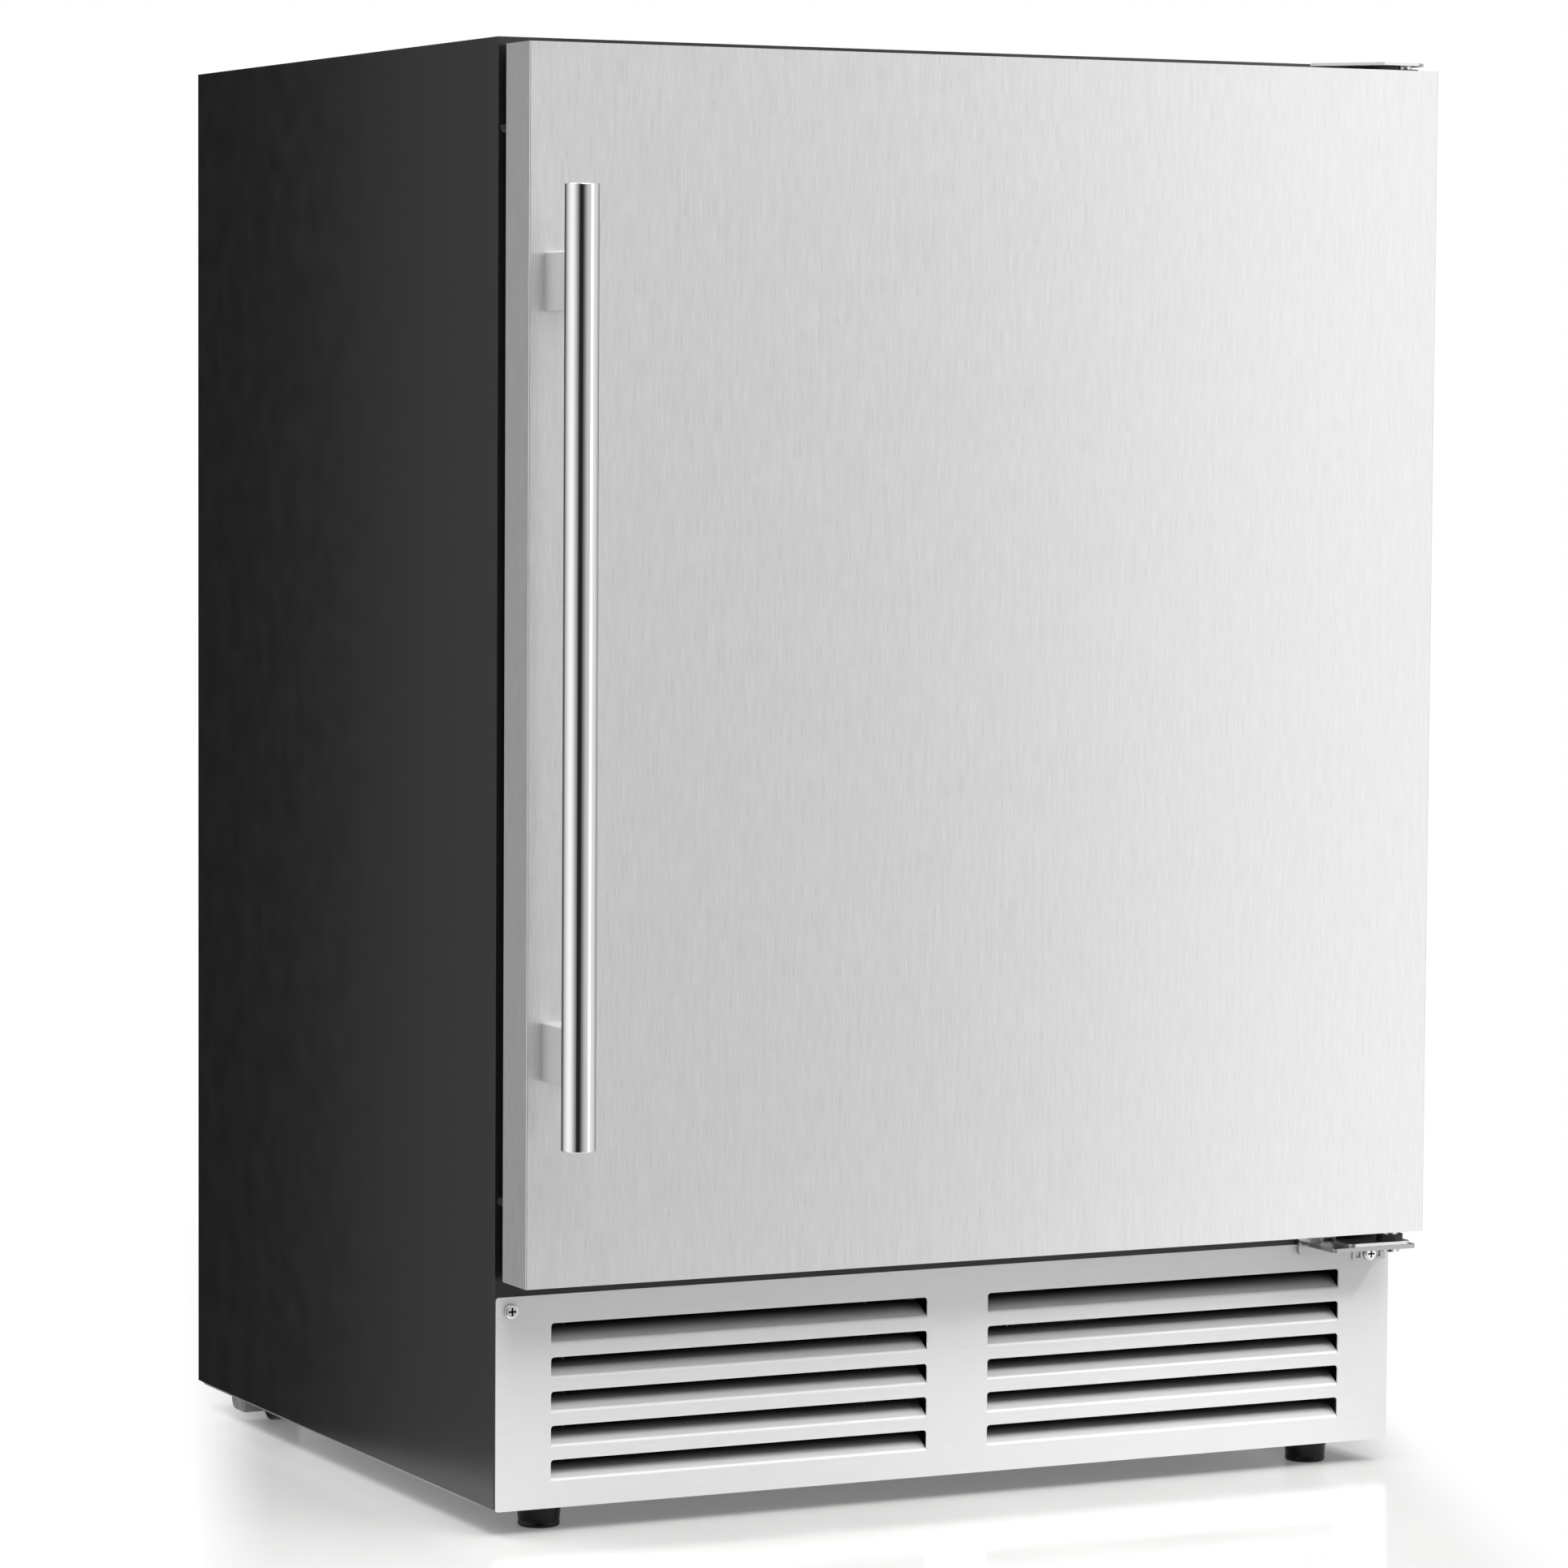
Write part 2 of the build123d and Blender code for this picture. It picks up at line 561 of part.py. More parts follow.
def hinge_stop_plate():
    """Plate on the tongue that stops the door at its widest."""
    plate = block((252, 295), (-30, -8), (TONGUE_TOP, STOP_TOP))
    plate = fillet(plate.edges().filter_by(Axis.Z), 4)
    return plate - pivot_rod(TONGUE_TOP - 1, STOP_TOP + 1, PIN_RADIUS)


def hinge_spacer():
    """Black washer between the stop plate and the pin's collar."""
    return pivot_rod(STOP_TOP, SPACER_TOP, 8) - pivot_rod(STOP_TOP, SPACER_TOP, PIN_RADIUS)


def hinge_bottom_pin():
    """Lower hinge pin with the collar that carries the door."""
    pin = pivot_rod(TONGUE_BOTTOM, DOOR_BOTTOM + 12, PIN_RADIUS)
    pin += pivot_rod(SPACER_TOP, COLLAR_TOP, 5.5)
    return pin + pivot_rod(TONGUE_BOTTOM - 2, TONGUE_BOTTOM, 6)


def hinge_screws():
    """Countersunk screws of both hinge brackets."""
    screws = []
    for x, y in TOP_SCREWS:
        screws.append(Pos(x, y, 0) * countersunk_screw(CABINET_TOP + HINGE_PLATE, HINGE_PLATE))
    for x in BOTTOM_SCREWS:
        screws.append(Pos(x, 0, BOTTOM_SCREW_Z) * Rot(90, 0, 0) * countersunk_screw(3, 3))
    return screws


def door_bush(direction):
    """One flanged bush, its flange outside the door and its barrel inside."""
    edge = DOOR_TOP if direction > 0 else DOOR_BOTTOM
    flange_end = edge + direction * BUSH_FLANGE
    barrel_end = edge - direction * BUSH_LENGTH
    bore_end = edge - direction * (BUSH_LENGTH - 3)
    bush = pivot_rod(edge, flange_end, 8) + pivot_rod(barrel_end, edge, BUSH_RADIUS)
    return bush - pivot_rod(bore_end, flange_end + direction, PIN_RADIUS + RUNNING_CLEARANCE)


# ---------------------------------------------------------------- door


def door_skin():
    """Brushed steel pan: front, four edges and a narrow return all round the back.

    Its sides are folded round, and its upper and lower edges are folded sharp.
    """
    pan = block((DOOR_LEFT, DOOR_RIGHT), (DOOR_FRONT, DOOR_BACK), (DOOR_BOTTOM, DOOR_TOP))
    upright_edges = pan.edges().filter_by(Axis.Z).group_by(Axis.Y)[0]
    pan = fillet(upright_edges, DOOR_EDGE_RADIUS)
    inside_x = (DOOR_LEFT + DOOR_SHEET, DOOR_RIGHT - DOOR_SHEET)
    inside_z = (DOOR_BOTTOM + DOOR_SHEET, DOOR_TOP - DOOR_SHEET)
    pan -= block(inside_x, (DOOR_FRONT + DOOR_SHEET, DOOR_BACK - DOOR_SHEET), inside_z)
    opening_x = (DOOR_LEFT + 11, DOOR_RIGHT - 11)
    opening_z = (DOOR_BOTTOM + 2.2, DOOR_TOP - 11)
    pan -= block(opening_x, (DOOR_BACK - 2, DOOR_BACK + 1), opening_z)
    for z in (DOOR_BOTTOM, DOOR_TOP):
        pan -= pivot_rod(z - 3, z + 3, BUSH_RADIUS)
    for z in STANDOFF_CENTRES:
        pan -= rod((BAR_X, DOOR_FRONT - 1, z), (BAR_X, DOOR_FRONT + 2, z), HANDLE_SCREW_RADIUS + 0.2)
    return pan


def door_liner():
    """Moulded inner face of the door, with a raised rim that reaches into the cold compartment."""
    inside_x = (DOOR_LEFT + DOOR_SHEET, DOOR_RIGHT - DOOR_SHEET)
    inside_z = (DOOR_BOTTOM + DOOR_SHEET, DOOR_TOP - DOOR_SHEET)
    plate = block(inside_x, (LINER_FRONT, LINER_BACK), inside_z)
    rim = frame((-DYKE_HALF, DYKE_HALF), (LINER_BACK, DYKE_END), (DYKE_BOTTOM, DYKE_TOP), 16)
    tips = rim.edges().filter_by_position(Axis.Y, DYKE_END - 0.1, DYKE_END + 0.1)
    rim = fillet(tips, 4)
    return plate + rim


def door_gasket():
    """Magnetic gasket: a base on the door liner, a narrow neck and a flat sealing face."""
    gasket = None
    seal = -0.2 - LINER_BACK
    layers = ((1.0, 0.0, 2.0, GASKET_WIDTH), (6.0, 2.0, 3.2, 4.0), (0.0, 3.2, seal, GASKET_WIDTH))
    for inset, front, back, width in layers:
        x_range = (-GASKET_HALF + inset, GASKET_HALF - inset)
        y_range = (LINER_BACK + front, LINER_BACK + back)
        z_range = (GASKET_BOTTOM + inset * 0.8, GASKET_TOP - inset)
        layer = frame(x_range, y_range, z_range, width)
        gasket = layer if gasket is None else gasket + layer
    return gasket


def door_foam():
    """Insulation inside the door."""
    inside_x = (DOOR_LEFT + DOOR_SHEET, DOOR_RIGHT - DOOR_SHEET)
    inside_z = (DOOR_BOTTOM + DOOR_SHEET, DOOR_TOP - DOOR_SHEET)
    foam = block(inside_x, (DOOR_FRONT + DOOR_SHEET, LINER_FRONT), inside_z)
    foam -= pivot_rod(DOOR_TOP - BUSH_LENGTH, DOOR_TOP, BUSH_RADIUS)
    foam -= pivot_rod(DOOR_BOTTOM, DOOR_BOTTOM + BUSH_LENGTH, BUSH_RADIUS)
    for z in STANDOFF_CENTRES:
        foam -= rod((BAR_X, DOOR_FRONT, z), (BAR_X, DOOR_FRONT + 6, z), 6)
    return foam


def handle_tube():
    """Polished round bar of the handle, a thick tube with closed, softly rounded ends."""
    bar = rod((BAR_X, BAR_Y, BAR_BOTTOM), (BAR_X, BAR_Y, BAR_TOP), BAR_RADIUS)
    bar = fillet(bar.edges().filter_by(GeomType.CIRCLE), 0.4)
    return bar - rod((BAR_X, BAR_Y, BAR_BOTTOM + 2), (BAR_X, BAR_Y, BAR_TOP - 2), BAR_RADIUS - 1.5)


def handle_standoffs():
    """Two rectangular posts, hollowed at the end to take the bar."""
    posts = []
    for z in STANDOFF_CENTRES:
        x_range = (BAR_X - STANDOFF_WIDTH / 2, BAR_X + STANDOFF_WIDTH / 2)
        z_range = (z - STANDOFF_HEIGHT / 2, z + STANDOFF_HEIGHT / 2)
        post = block(x_range, (BAR_Y + 5, DOOR_FRONT), z_range)
        post = chamfer(post.edges().filter_by(Axis.Y), 0.8)
        post -= rod((BAR_X, BAR_Y, z - 30), (BAR_X, BAR_Y, z + 30), BAR_RADIUS)
        post -= rod((BAR_X, DOOR_FRONT - 16, z), (BAR_X, DOOR_FRONT + 1, z), HANDLE_SCREW_RADIUS + 0.05)
        posts.append(post)
    return posts


def handle_screws():
    """Screws from inside the door into the handle posts."""
    screw = Rot(-90, 0, 0) * cross_head_screw(4.8, 3.0, HANDLE_SCREW_RADIUS, 15)
    return [Pos(BAR_X, DOOR_FRONT + DOOR_SHEET, z) * screw for z in STANDOFF_CENTRES]


# ---------------------------------------------------------------- machine bay


def compressor():
    """Hermetic compressor: oval welded shell on a mounting plate."""
    shell = Pos(0, 0, 34) * extrude(Ellipse(78, 62), 166)
    shell = fillet(shell.edges().group_by(Axis.Z)[-1] + shell.edges().group_by(Axis.Z)[0], 34)
    seam = Pos(0, 0, 112) * extrude(Ellipse(81, 65), 4)
    plate = Pos(0, 0, 32.5) * Box(184, 112, 3)
    plate = fillet(plate.edges().filter_by(Axis.Z), 12)
    unit = Pos(COMPRESSOR_X, COMPRESSOR_Y, 0) * (shell + seam + plate)
    for x, y in COMPRESSOR_BOLTS:
        unit -= rod((x, y, 30), (x, y, 36), 6)
    return unit


def compressor_grommets():
    """Rubber mounts under the compressor's plate."""
    grommets = []
    for x, y in COMPRESSOR_BOLTS:
        body = rod((x, y, BASE_TOP), (x, y, GROMMET_TOP), 11)
        body += rod((x, y, GROMMET_TOP), (x, y, 35), 6)
        grommets.append(body - rod((x, y, BASE_TOP - 1), (x, y, 36), 3.1))
    return grommets


def compressor_bolts():
    """Bolts up through the base pan and the rubber mounts, with hexagon nuts."""
    bolts = []
    for x, y in COMPRESSOR_BOLTS:
        bolt = rod((x, y, BASE_BOTTOM - 2.5), (x, y, BASE_BOTTOM), 6)
        bolt += rod((x, y, BASE_BOTTOM), (x, y, 44), 3)
        bolt += Pos(x, y, 35) * extrude(RegularPolygon(6, 6), 5)
        bolts.append(bolt)
    return bolts


def terminal_cover():
    """Plastic cover over the compressor's terminals and relay."""
    box = block((196, 236), (358, 412), (62, 118))
    box = fillet(box.edges().filter_by(Axis.X), 5)
    return box - Pos(COMPRESSOR_X, COMPRESSOR_Y, 50) * extrude(Ellipse(81.5, 65.5), 100)


def condenser_fins():
    """Thin upright fins, each with a row of holes for the tube."""
    fin = block((0, 0.6), (40, 84), (24, 130))
    for y in CONDENSER_TUBE_Y:
        for z in CONDENSER_TUBE_Z:
            fin -= rod((-1, y, z), (2, y, z), CONDENSER_TUBE + 0.1)
    count = 31
    pitch = (CONDENSER_RIGHT - CONDENSER_LEFT - 6) / (count - 1)
    return [Pos(CONDENSER_LEFT + 3 + pitch * index, 0, 0) * fin for index in range(count)]


def serpentine(y_values, z_values, left, right, radius):
    """A tube that runs to and fro along X, one column of runs after the other."""
    stops = [(y, z) for y in y_values for z in z_values]
    half = len(z_values)
    stops = stops[:half] + stops[half:][::-1]
    tube = None
    for index, (y, z) in enumerate(stops):
        run = rod((left, y, z), (right, y, z), radius)
        tube = run if tube is None else tube + run
        if index == 0:
            continue
        before_y, before_z = stops[index - 1]
        end = left if index % 2 else right
        outward = -radius * 2 if index % 2 else radius * 2
        first = (end, before_y, before_z)
        second = (end + outward, before_y, before_z)
        third = (end + outward, y, z)
        fourth = (end, y, z)
        bend = FilletPolyline(first, second, third, fourth, radius=radius * 1.6)
        tube += sweep(Plane(origin=bend @ 0, z_dir=bend % 0) * Circle(radius), path=bend)
    return tube


def condenser_tube():
    """Condenser tube, threaded to and fro through the fins."""
    ends = (CONDENSER_LEFT - 4, CONDENSER_RIGHT + 4)
    return serpentine(CONDENSER_TUBE_Y, CONDENSER_TUBE_Z, *ends, CONDENSER_TUBE)


def fan_shroud():
    """Galvanised end plates and fan plate that carry the condenser and its fan."""
    shroud = block((-242, -38), (SHROUD_Y, SHROUD_Y + 1.5), (BASE_TOP, 134))
    shroud -= rod((FAN_X, SHROUD_Y - 1, FAN_Z), (FAN_X, SHROUD_Y + 3, FAN_Z), 50)
    shroud += ring((FAN_X, SHROUD_Y, FAN_Z), (FAN_X, SHROUD_Y + 12, FAN_Z), 51.5, 50)
    for x in (CONDENSER_LEFT - 2.5, CONDENSER_RIGHT + 1.0):
        cheek = block((x, x + 1.5), (38, SHROUD_Y), (BASE_TOP, 134))
        for y in CONDENSER_TUBE_Y:
            for z in CONDENSER_TUBE_Z:
                cheek -= rod((x - 1, y, z), (x + 3, y, z), CONDENSER_TUBE + 0.2)
        shroud += cheek
    shroud += block((-242, -38), (SHROUD_Y + 1.5, SHROUD_Y + 14), (BASE_TOP, BASE_TOP + 1.5))
    return shroud


def condenser_fan_motor():
    """Fan motor on three arms behind the fan plate."""
    motor = rod((FAN_X, 124, FAN_Z), (FAN_X, 156, FAN_Z), 21)
    motor += rod((FAN_X, 100, FAN_Z), (FAN_X, 124, FAN_Z), 2)
    for angle in (90, 210, 330):
        reach = (math.cos(math.radians(angle)), math.sin(math.radians(angle)))
        tip = (FAN_X + 54 * reach[0], FAN_Z + 54 * reach[1])
        motor += rod((FAN_X + 18 * reach[0], 140, FAN_Z + 18 * reach[1]), (tip[0], 140, tip[1]), 2.2)
        motor += rod((tip[0], SHROUD_Y + 1.5, tip[1]), (tip[0], 142, tip[1]), 2.2)
    return motor


def fan_blades(centre, y_range, tip, hub, count, shaft):
    """Axial fan: a hub with a shaft bore and flat blades set at a pitch."""
    x, z = centre
    middle = (y_range[0] + y_range[1]) / 2
    depth = y_range[1] - y_range[0]
    fan = rod((x, y_range[0], z), (x, y_range[1], z), hub)
    envelope = ring((x, y_range[0], z), (x, y_range[1], z), tip, hub - 1)
    for index in range(count):
        blade = Pos((tip + hub) / 2, 0, 0) * Rot(32, 0, 0) * Box(tip - hub + 6, depth * 2.4, 1.6)
        placed = Pos(x, middle, z) * Rot(0, 360 / count * index, 0) * blade_upright(blade)
        fan += placed & envelope
    return fan - rod((x, y_range[0] + 2, z), (x, y_range[1] + 1, z), shaft + RUNNING_CLEARANCE)


def blade_upright(blade):
    """Turns a blade that lies in the XY plane so that its face looks along Y."""
    return Rot(90, 0, 0) * blade


def drain_tube():
    """Defrost drain from the cold compartment to the pan."""
    bottom = (DRAIN_X, DRAIN_Y, 240)
    return ring(bottom, (DRAIN_X, DRAIN_Y, STEP_TOP - LINER_WALL), DRAIN_RADIUS, 4)


def drain_pan():
    """Evaporation pan that lies on the compressor."""
    pan = block((62, 212), (318, 462), (200, 230))
    pan = fillet(pan.edges().filter_by(Axis.Z), 10)
    hollow = block((64, 210), (320, 460), (202, 231))
    return pan - fillet(hollow.edges().filter_by(Axis.Z), 8)


def suction_line(radius):
    """Suction line from the evaporator down to the compressor."""
    points = [
        (COIL_END_X + 4, 405, SUCTION_Z),
        (SUCTION_X, 405, SUCTION_Z),
        (SUCTION_X, LINE_Y, SUCTION_Z),
        (SUCTION_X, LINE_Y, 150),
        (105, LINE_Y, 150),
        (105, 430, 150),
    ]
    return pipe(points, 8, radius)


def capillary_line(radius):
    """Thin line from the condenser's outlet up to the evaporator."""
    points = [
        (CONDENSER_RIGHT + 4, CONDENSER_TUBE_Y[1], CONDENSER_TUBE_Z[0]),
        (CAPILLARY_X, CONDENSER_TUBE_Y[1], CONDENSER_TUBE_Z[0]),
        (CAPILLARY_X, LINE_Y, CONDENSER_TUBE_Z[0]),
        (CAPILLARY_X, LINE_Y, CAPILLARY_Z),
        (CAPILLARY_X, 418, CAPILLARY_Z),
    ]
    return pipe(points, 8, radius)


def discharge_line(radius):
    """Hot gas line from the compressor to the condenser's inlet."""
    points = [
        (90, 385, 122),
        (-5, 385, 122),
        (-5, CONDENSER_TUBE_Y[0], 122),
        (-5, CONDENSER_TUBE_Y[0], CONDENSER_TUBE_Z[0]),
        (CONDENSER_RIGHT + 4, CONDENSER_TUBE_Y[0], CONDENSER_TUBE_Z[0]),
    ]
    return pipe(points, 8, radius)


def refrigerant_lines(shell):
    """The three soldered copper lines of the cooling circuit."""
    suction = suction_line(SUCTION_RADIUS) - shell
    discharge = discharge_line(3.0) - shell
    return [suction, discharge, capillary_line(CAPILLARY_RADIUS)]


def cord_gland():
    """Strain relief bush in the rear cover, with the hole for a mains cord."""
    back = COVER_FRONT + COVER_SHEET
    gland = rod((GLAND_X, back - 12, GLAND_Z), (GLAND_X, back, GLAND_Z), 8)
    gland += rod((GLAND_X, back, GLAND_Z), (GLAND_X, back + 3, GLAND_Z), 11)
    return gland - rod((GLAND_X, back - 13, GLAND_Z), (GLAND_X, back + 4, GLAND_Z), 4)


# ---------------------------------------------------------------- cold side


def evaporator_coil():
    """Finned evaporator coil: fins and tube as separate solids."""
    fin = block((0, 0.6), (397, 426), (600, 760))
    for y in EVAPORATOR_TUBE_Y:
        for z in EVAPORATOR_TUBE_Z:
            fin -= rod((-1, y, z), (2, y, z), 3.1)
    fins = [Pos(-178 + 8 * index, 0, 0) * fin for index in range(25)]
    tube = serpentine(EVAPORATOR_TUBE_Y, EVAPORATOR_TUBE_Z, -180, COIL_END_X - 10, 3.0)
    return [tube] + fins


def evaporator_cover():
    """Moulded cover over the coil and fan, with an outlet grid and inlet slots."""
    outer = block((-205, 205), (390, 430), (575, 785))
    outer = fillet(outer.edges().filter_by(Axis.Y), 14)
    front_edges = outer.edges().filter_by_position(Axis.Y, 389.9, 390.1)
    outer = fillet(front_edges, 3)
    cover = outer - block((-203, 203), (392, 431), (577, 783))
    for index in range(-4, 5):
        x = COLD_FAN_X + 9.5 * index
        half = math.sqrt(46**2 - (9.5 * index) ** 2)
        cover -= block((x - 2.6, x + 2.6), (388, 393), (COLD_FAN_Z - half, COLD_FAN_Z + half))
    for index in range(14):
        x = -180 + 16 * index
        cover -= block((x, x + 8), (388, 393), (588, 612))
    return cover


def evaporator_fan_motor():
    """Small motor on the liner's back wall."""
    motor = rod((COLD_FAN_X, 416, COLD_FAN_Z), (COLD_FAN_X, CAVITY_DEPTH, COLD_FAN_Z), 20)
    return motor + rod((COLD_FAN_X, 400, COLD_FAN_Z), (COLD_FAN_X, 416, COLD_FAN_Z), 2)


def shelf(level):
    """Wire shelf: a round frame, two cross bars and wires from front to back."""
    front, back, side = 48.0, 382.0, 243.0
    z = level + 3.3
    corners = [(-side, front, z), (side, front, z), (side, back, z), (-side, back, z)]
    shelf_wires = None
    for first, second in zip(corners, corners[1:] + corners[:1]):
        bar = rod(first, second, 3)
        shelf_wires = bar if shelf_wires is None else shelf_wires + bar
    for corner in corners:
        shelf_wires += Pos(*corner) * Sphere(3)
    for y in (160, 270):
        shelf_wires += rod((-side, y, z - 0.5), (side, y, z - 0.5), 2.2)
    count = 23
    pitch = 2 * side / (count + 1)
    for index in range(1, count + 1):
        x = -side + pitch * index
        shelf_wires += rod((x, front, z + 1.6), (x, back, z + 1.6), 1.5)
    return shelf_wires


def control_housing():
    """Control box under the cold compartment's ceiling."""
    housing = block((-95, 95), (HOUSING_FRONT, 78), (776, CAVITY_TOP))
    housing = fillet(housing.edges().filter_by(Axis.Y).group_by(Axis.Z)[0], 6)
    housing -= block((-92.5, 92.5), (HOUSING_FRONT + 2.5, 75.5), (778.5, CAVITY_TOP + 1))
    housing -= block((-62, 6), (HOUSING_FRONT - 1, HOUSING_FRONT + 1.2), (782, 800))
    for x in BUTTON_X:
        housing -= rod((x, 10, BUTTON_Z), (x, 30, BUTTON_Z), 6.3)
    return housing


def control_display():
    """Dark window of the temperature display."""
    return block((-61.8, 5.8), (HOUSING_FRONT - 0.3, HOUSING_FRONT + 1.2), (782.2, 799.8))


def button(x):
    """Round push button with a wider foot behind the housing's front."""
    cap = rod((x, HOUSING_FRONT - 1.6, BUTTON_Z), (x, HOUSING_FRONT + 2.8, BUTTON_Z), 6)
    front = cap.edges().filter_by_position(Axis.Y, HOUSING_FRONT - 1.7, HOUSING_FRONT - 1.5)
    cap = fillet(front, 0.8)
    return cap + rod((x, HOUSING_FRONT + 2.8, BUTTON_Z), (x, HOUSING_FRONT + 4.5, BUTTON_Z), 7.5)


def led_light():
    """Lamp strip on the ceiling behind the control box."""
    lamp = block((-120, 120), (96, 118), (800, CAVITY_TOP))
    return fillet(lamp.edges().filter_by(Axis.X).group_by(Axis.Z)[0], 3)


# ---------------------------------------------------------------- parts list


def all_parts():
    """Every node's name with its solid or list of solids."""
    shell = compressor()
    parts = {
        "side_panel_left": side_panel(-1),
        "side_panel_right": side_panel(1),
        "top_panel": top_panel(),
        "front_rail": front_rail(),
        "rear_panel": rear_panel(),
        "compressor_cover": compressor_cover(),
        "base_plate": base_plate(),
        "bay_deck": bay_deck(),
        "cabinet_foam": cabinet_foam(),
        "inner_liner": inner_liner(),
        "hole_plugs": hole_plugs(),
        "grille": grille(),
        "grille_screws": grille_screws(),
        "panel_screws": panel_screws(),
        "grille_brackets": grille_brackets(),
        "foot_left": foot(-1),
        "foot_right": foot(1),
        "roller_brackets": roller_brackets(),
        "roller_axles": roller_axles(),
        "roller_left": roller(-1),
        "roller_right": roller(1),
        "hinge_top_bracket": hinge_top_bracket(),
        "hinge_top_pin": hinge_top_pin(),
        "hinge_bottom_bracket": hinge_bottom_bracket(),
        "hinge_bottom_pin": hinge_bottom_pin(),
        "hinge_stop_plate": hinge_stop_plate(),
        "hinge_spacer": hinge_spacer(),
        "hinge_screws": hinge_screws(),
        "door_bushes": [door_bush(-1), door_bush(1)],
        "door_skin": door_skin(),
        "door_liner": door_liner(),
        "door_gasket": door_gasket(),
        "door_foam": door_foam(),
        "handle_tube": handle_tube(),
        "handle_standoffs": handle_standoffs(),
        "handle_screws": handle_screws(),
        "compressor": shell,
        "compressor_grommets": compressor_grommets(),
        "compressor_bolts": compressor_bolts(),
        "terminal_cover": terminal_cover(),
        "condenser_fins": condenser_fins(),
        "condenser_tube": condenser_tube(),
        "fan_shroud": fan_shroud(),
        "condenser_fan_motor": condenser_fan_motor(),
        "condenser_fan": fan_blades((FAN_X, FAN_Z), (97, 115), 47, 17, 5, 2),
        "drain_tube": drain_tube(),
        "drain_pan": drain_pan(),
        "refrigerant_lines": refrigerant_lines(shell),
        "cord_gland": cord_gland(),
        "evaporator_coil": evaporator_coil(),
        "evaporator_cover": evaporator_cover(),
        "evaporator_fan_motor": evaporator_fan_motor(),
        "evaporator_fan": fan_blades((COLD_FAN_X, COLD_FAN_Z), (396, 409), 43, 15, 7, 2),
        "control_housing": control_housing(),
        "control_display": control_display(),
        "button_colder": button(BUTTON_X[0]),
        "button_warmer": button(BUTTON_X[1]),
        "led_light": led_light(),
    }
    for name, level in FITTED_LEVELS.items():
        parts[name] = shelf(level)
    return parts


def write_parts(parts):
    """Writes one STEP file per node, moved to the refrigerator's own origin."""
    os.makedirs("parts", exist_ok=True)
    for name, shape in parts.items():
        group = shape if isinstance(shape, list) else [shape]
        solids = [solid for item in group for solid in (Pos(0, Y_SHIFT, 0) * item).solids()]
        whole = Compound(children=solids) if len(solids) > 1 else solids[0]
        export_step(whole, os.path.join("parts", name + ".step"))


write_parts(all_parts())
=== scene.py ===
"""Looks of the undercounter refrigerator: materials, studio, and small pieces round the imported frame.

Everything is in metres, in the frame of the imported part: +Z up, the door and grille face -Y.
"""

import json
import math

import bmesh
import bpy
from mathutils import Matrix, Vector


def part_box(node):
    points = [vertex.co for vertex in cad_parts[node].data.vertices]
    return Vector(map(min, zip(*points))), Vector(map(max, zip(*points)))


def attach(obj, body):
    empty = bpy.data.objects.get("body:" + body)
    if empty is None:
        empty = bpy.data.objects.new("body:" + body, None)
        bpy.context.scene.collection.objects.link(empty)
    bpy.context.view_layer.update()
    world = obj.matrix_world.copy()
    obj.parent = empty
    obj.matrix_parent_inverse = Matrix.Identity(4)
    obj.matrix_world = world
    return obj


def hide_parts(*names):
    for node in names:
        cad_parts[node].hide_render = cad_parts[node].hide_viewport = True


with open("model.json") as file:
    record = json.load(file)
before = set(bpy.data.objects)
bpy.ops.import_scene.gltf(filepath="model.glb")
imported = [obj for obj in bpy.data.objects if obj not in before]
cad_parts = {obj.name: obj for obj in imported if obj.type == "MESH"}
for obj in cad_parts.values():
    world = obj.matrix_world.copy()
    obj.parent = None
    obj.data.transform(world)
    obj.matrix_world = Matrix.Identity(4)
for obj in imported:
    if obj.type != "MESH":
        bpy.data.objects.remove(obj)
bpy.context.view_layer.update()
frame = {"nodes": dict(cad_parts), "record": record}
NODES = frame["nodes"]

# Camera: place, direction and lens
CAMERA_PLACE = (-1.6064, -3.2637, 0.6566)
CAMERA_YAW = 25.93
CAMERA_DOWN = 3.854
CAMERA_ROLL = 0.366
CAMERA_LENS = 135.51


# ---------------------------------------------------------------- node helpers


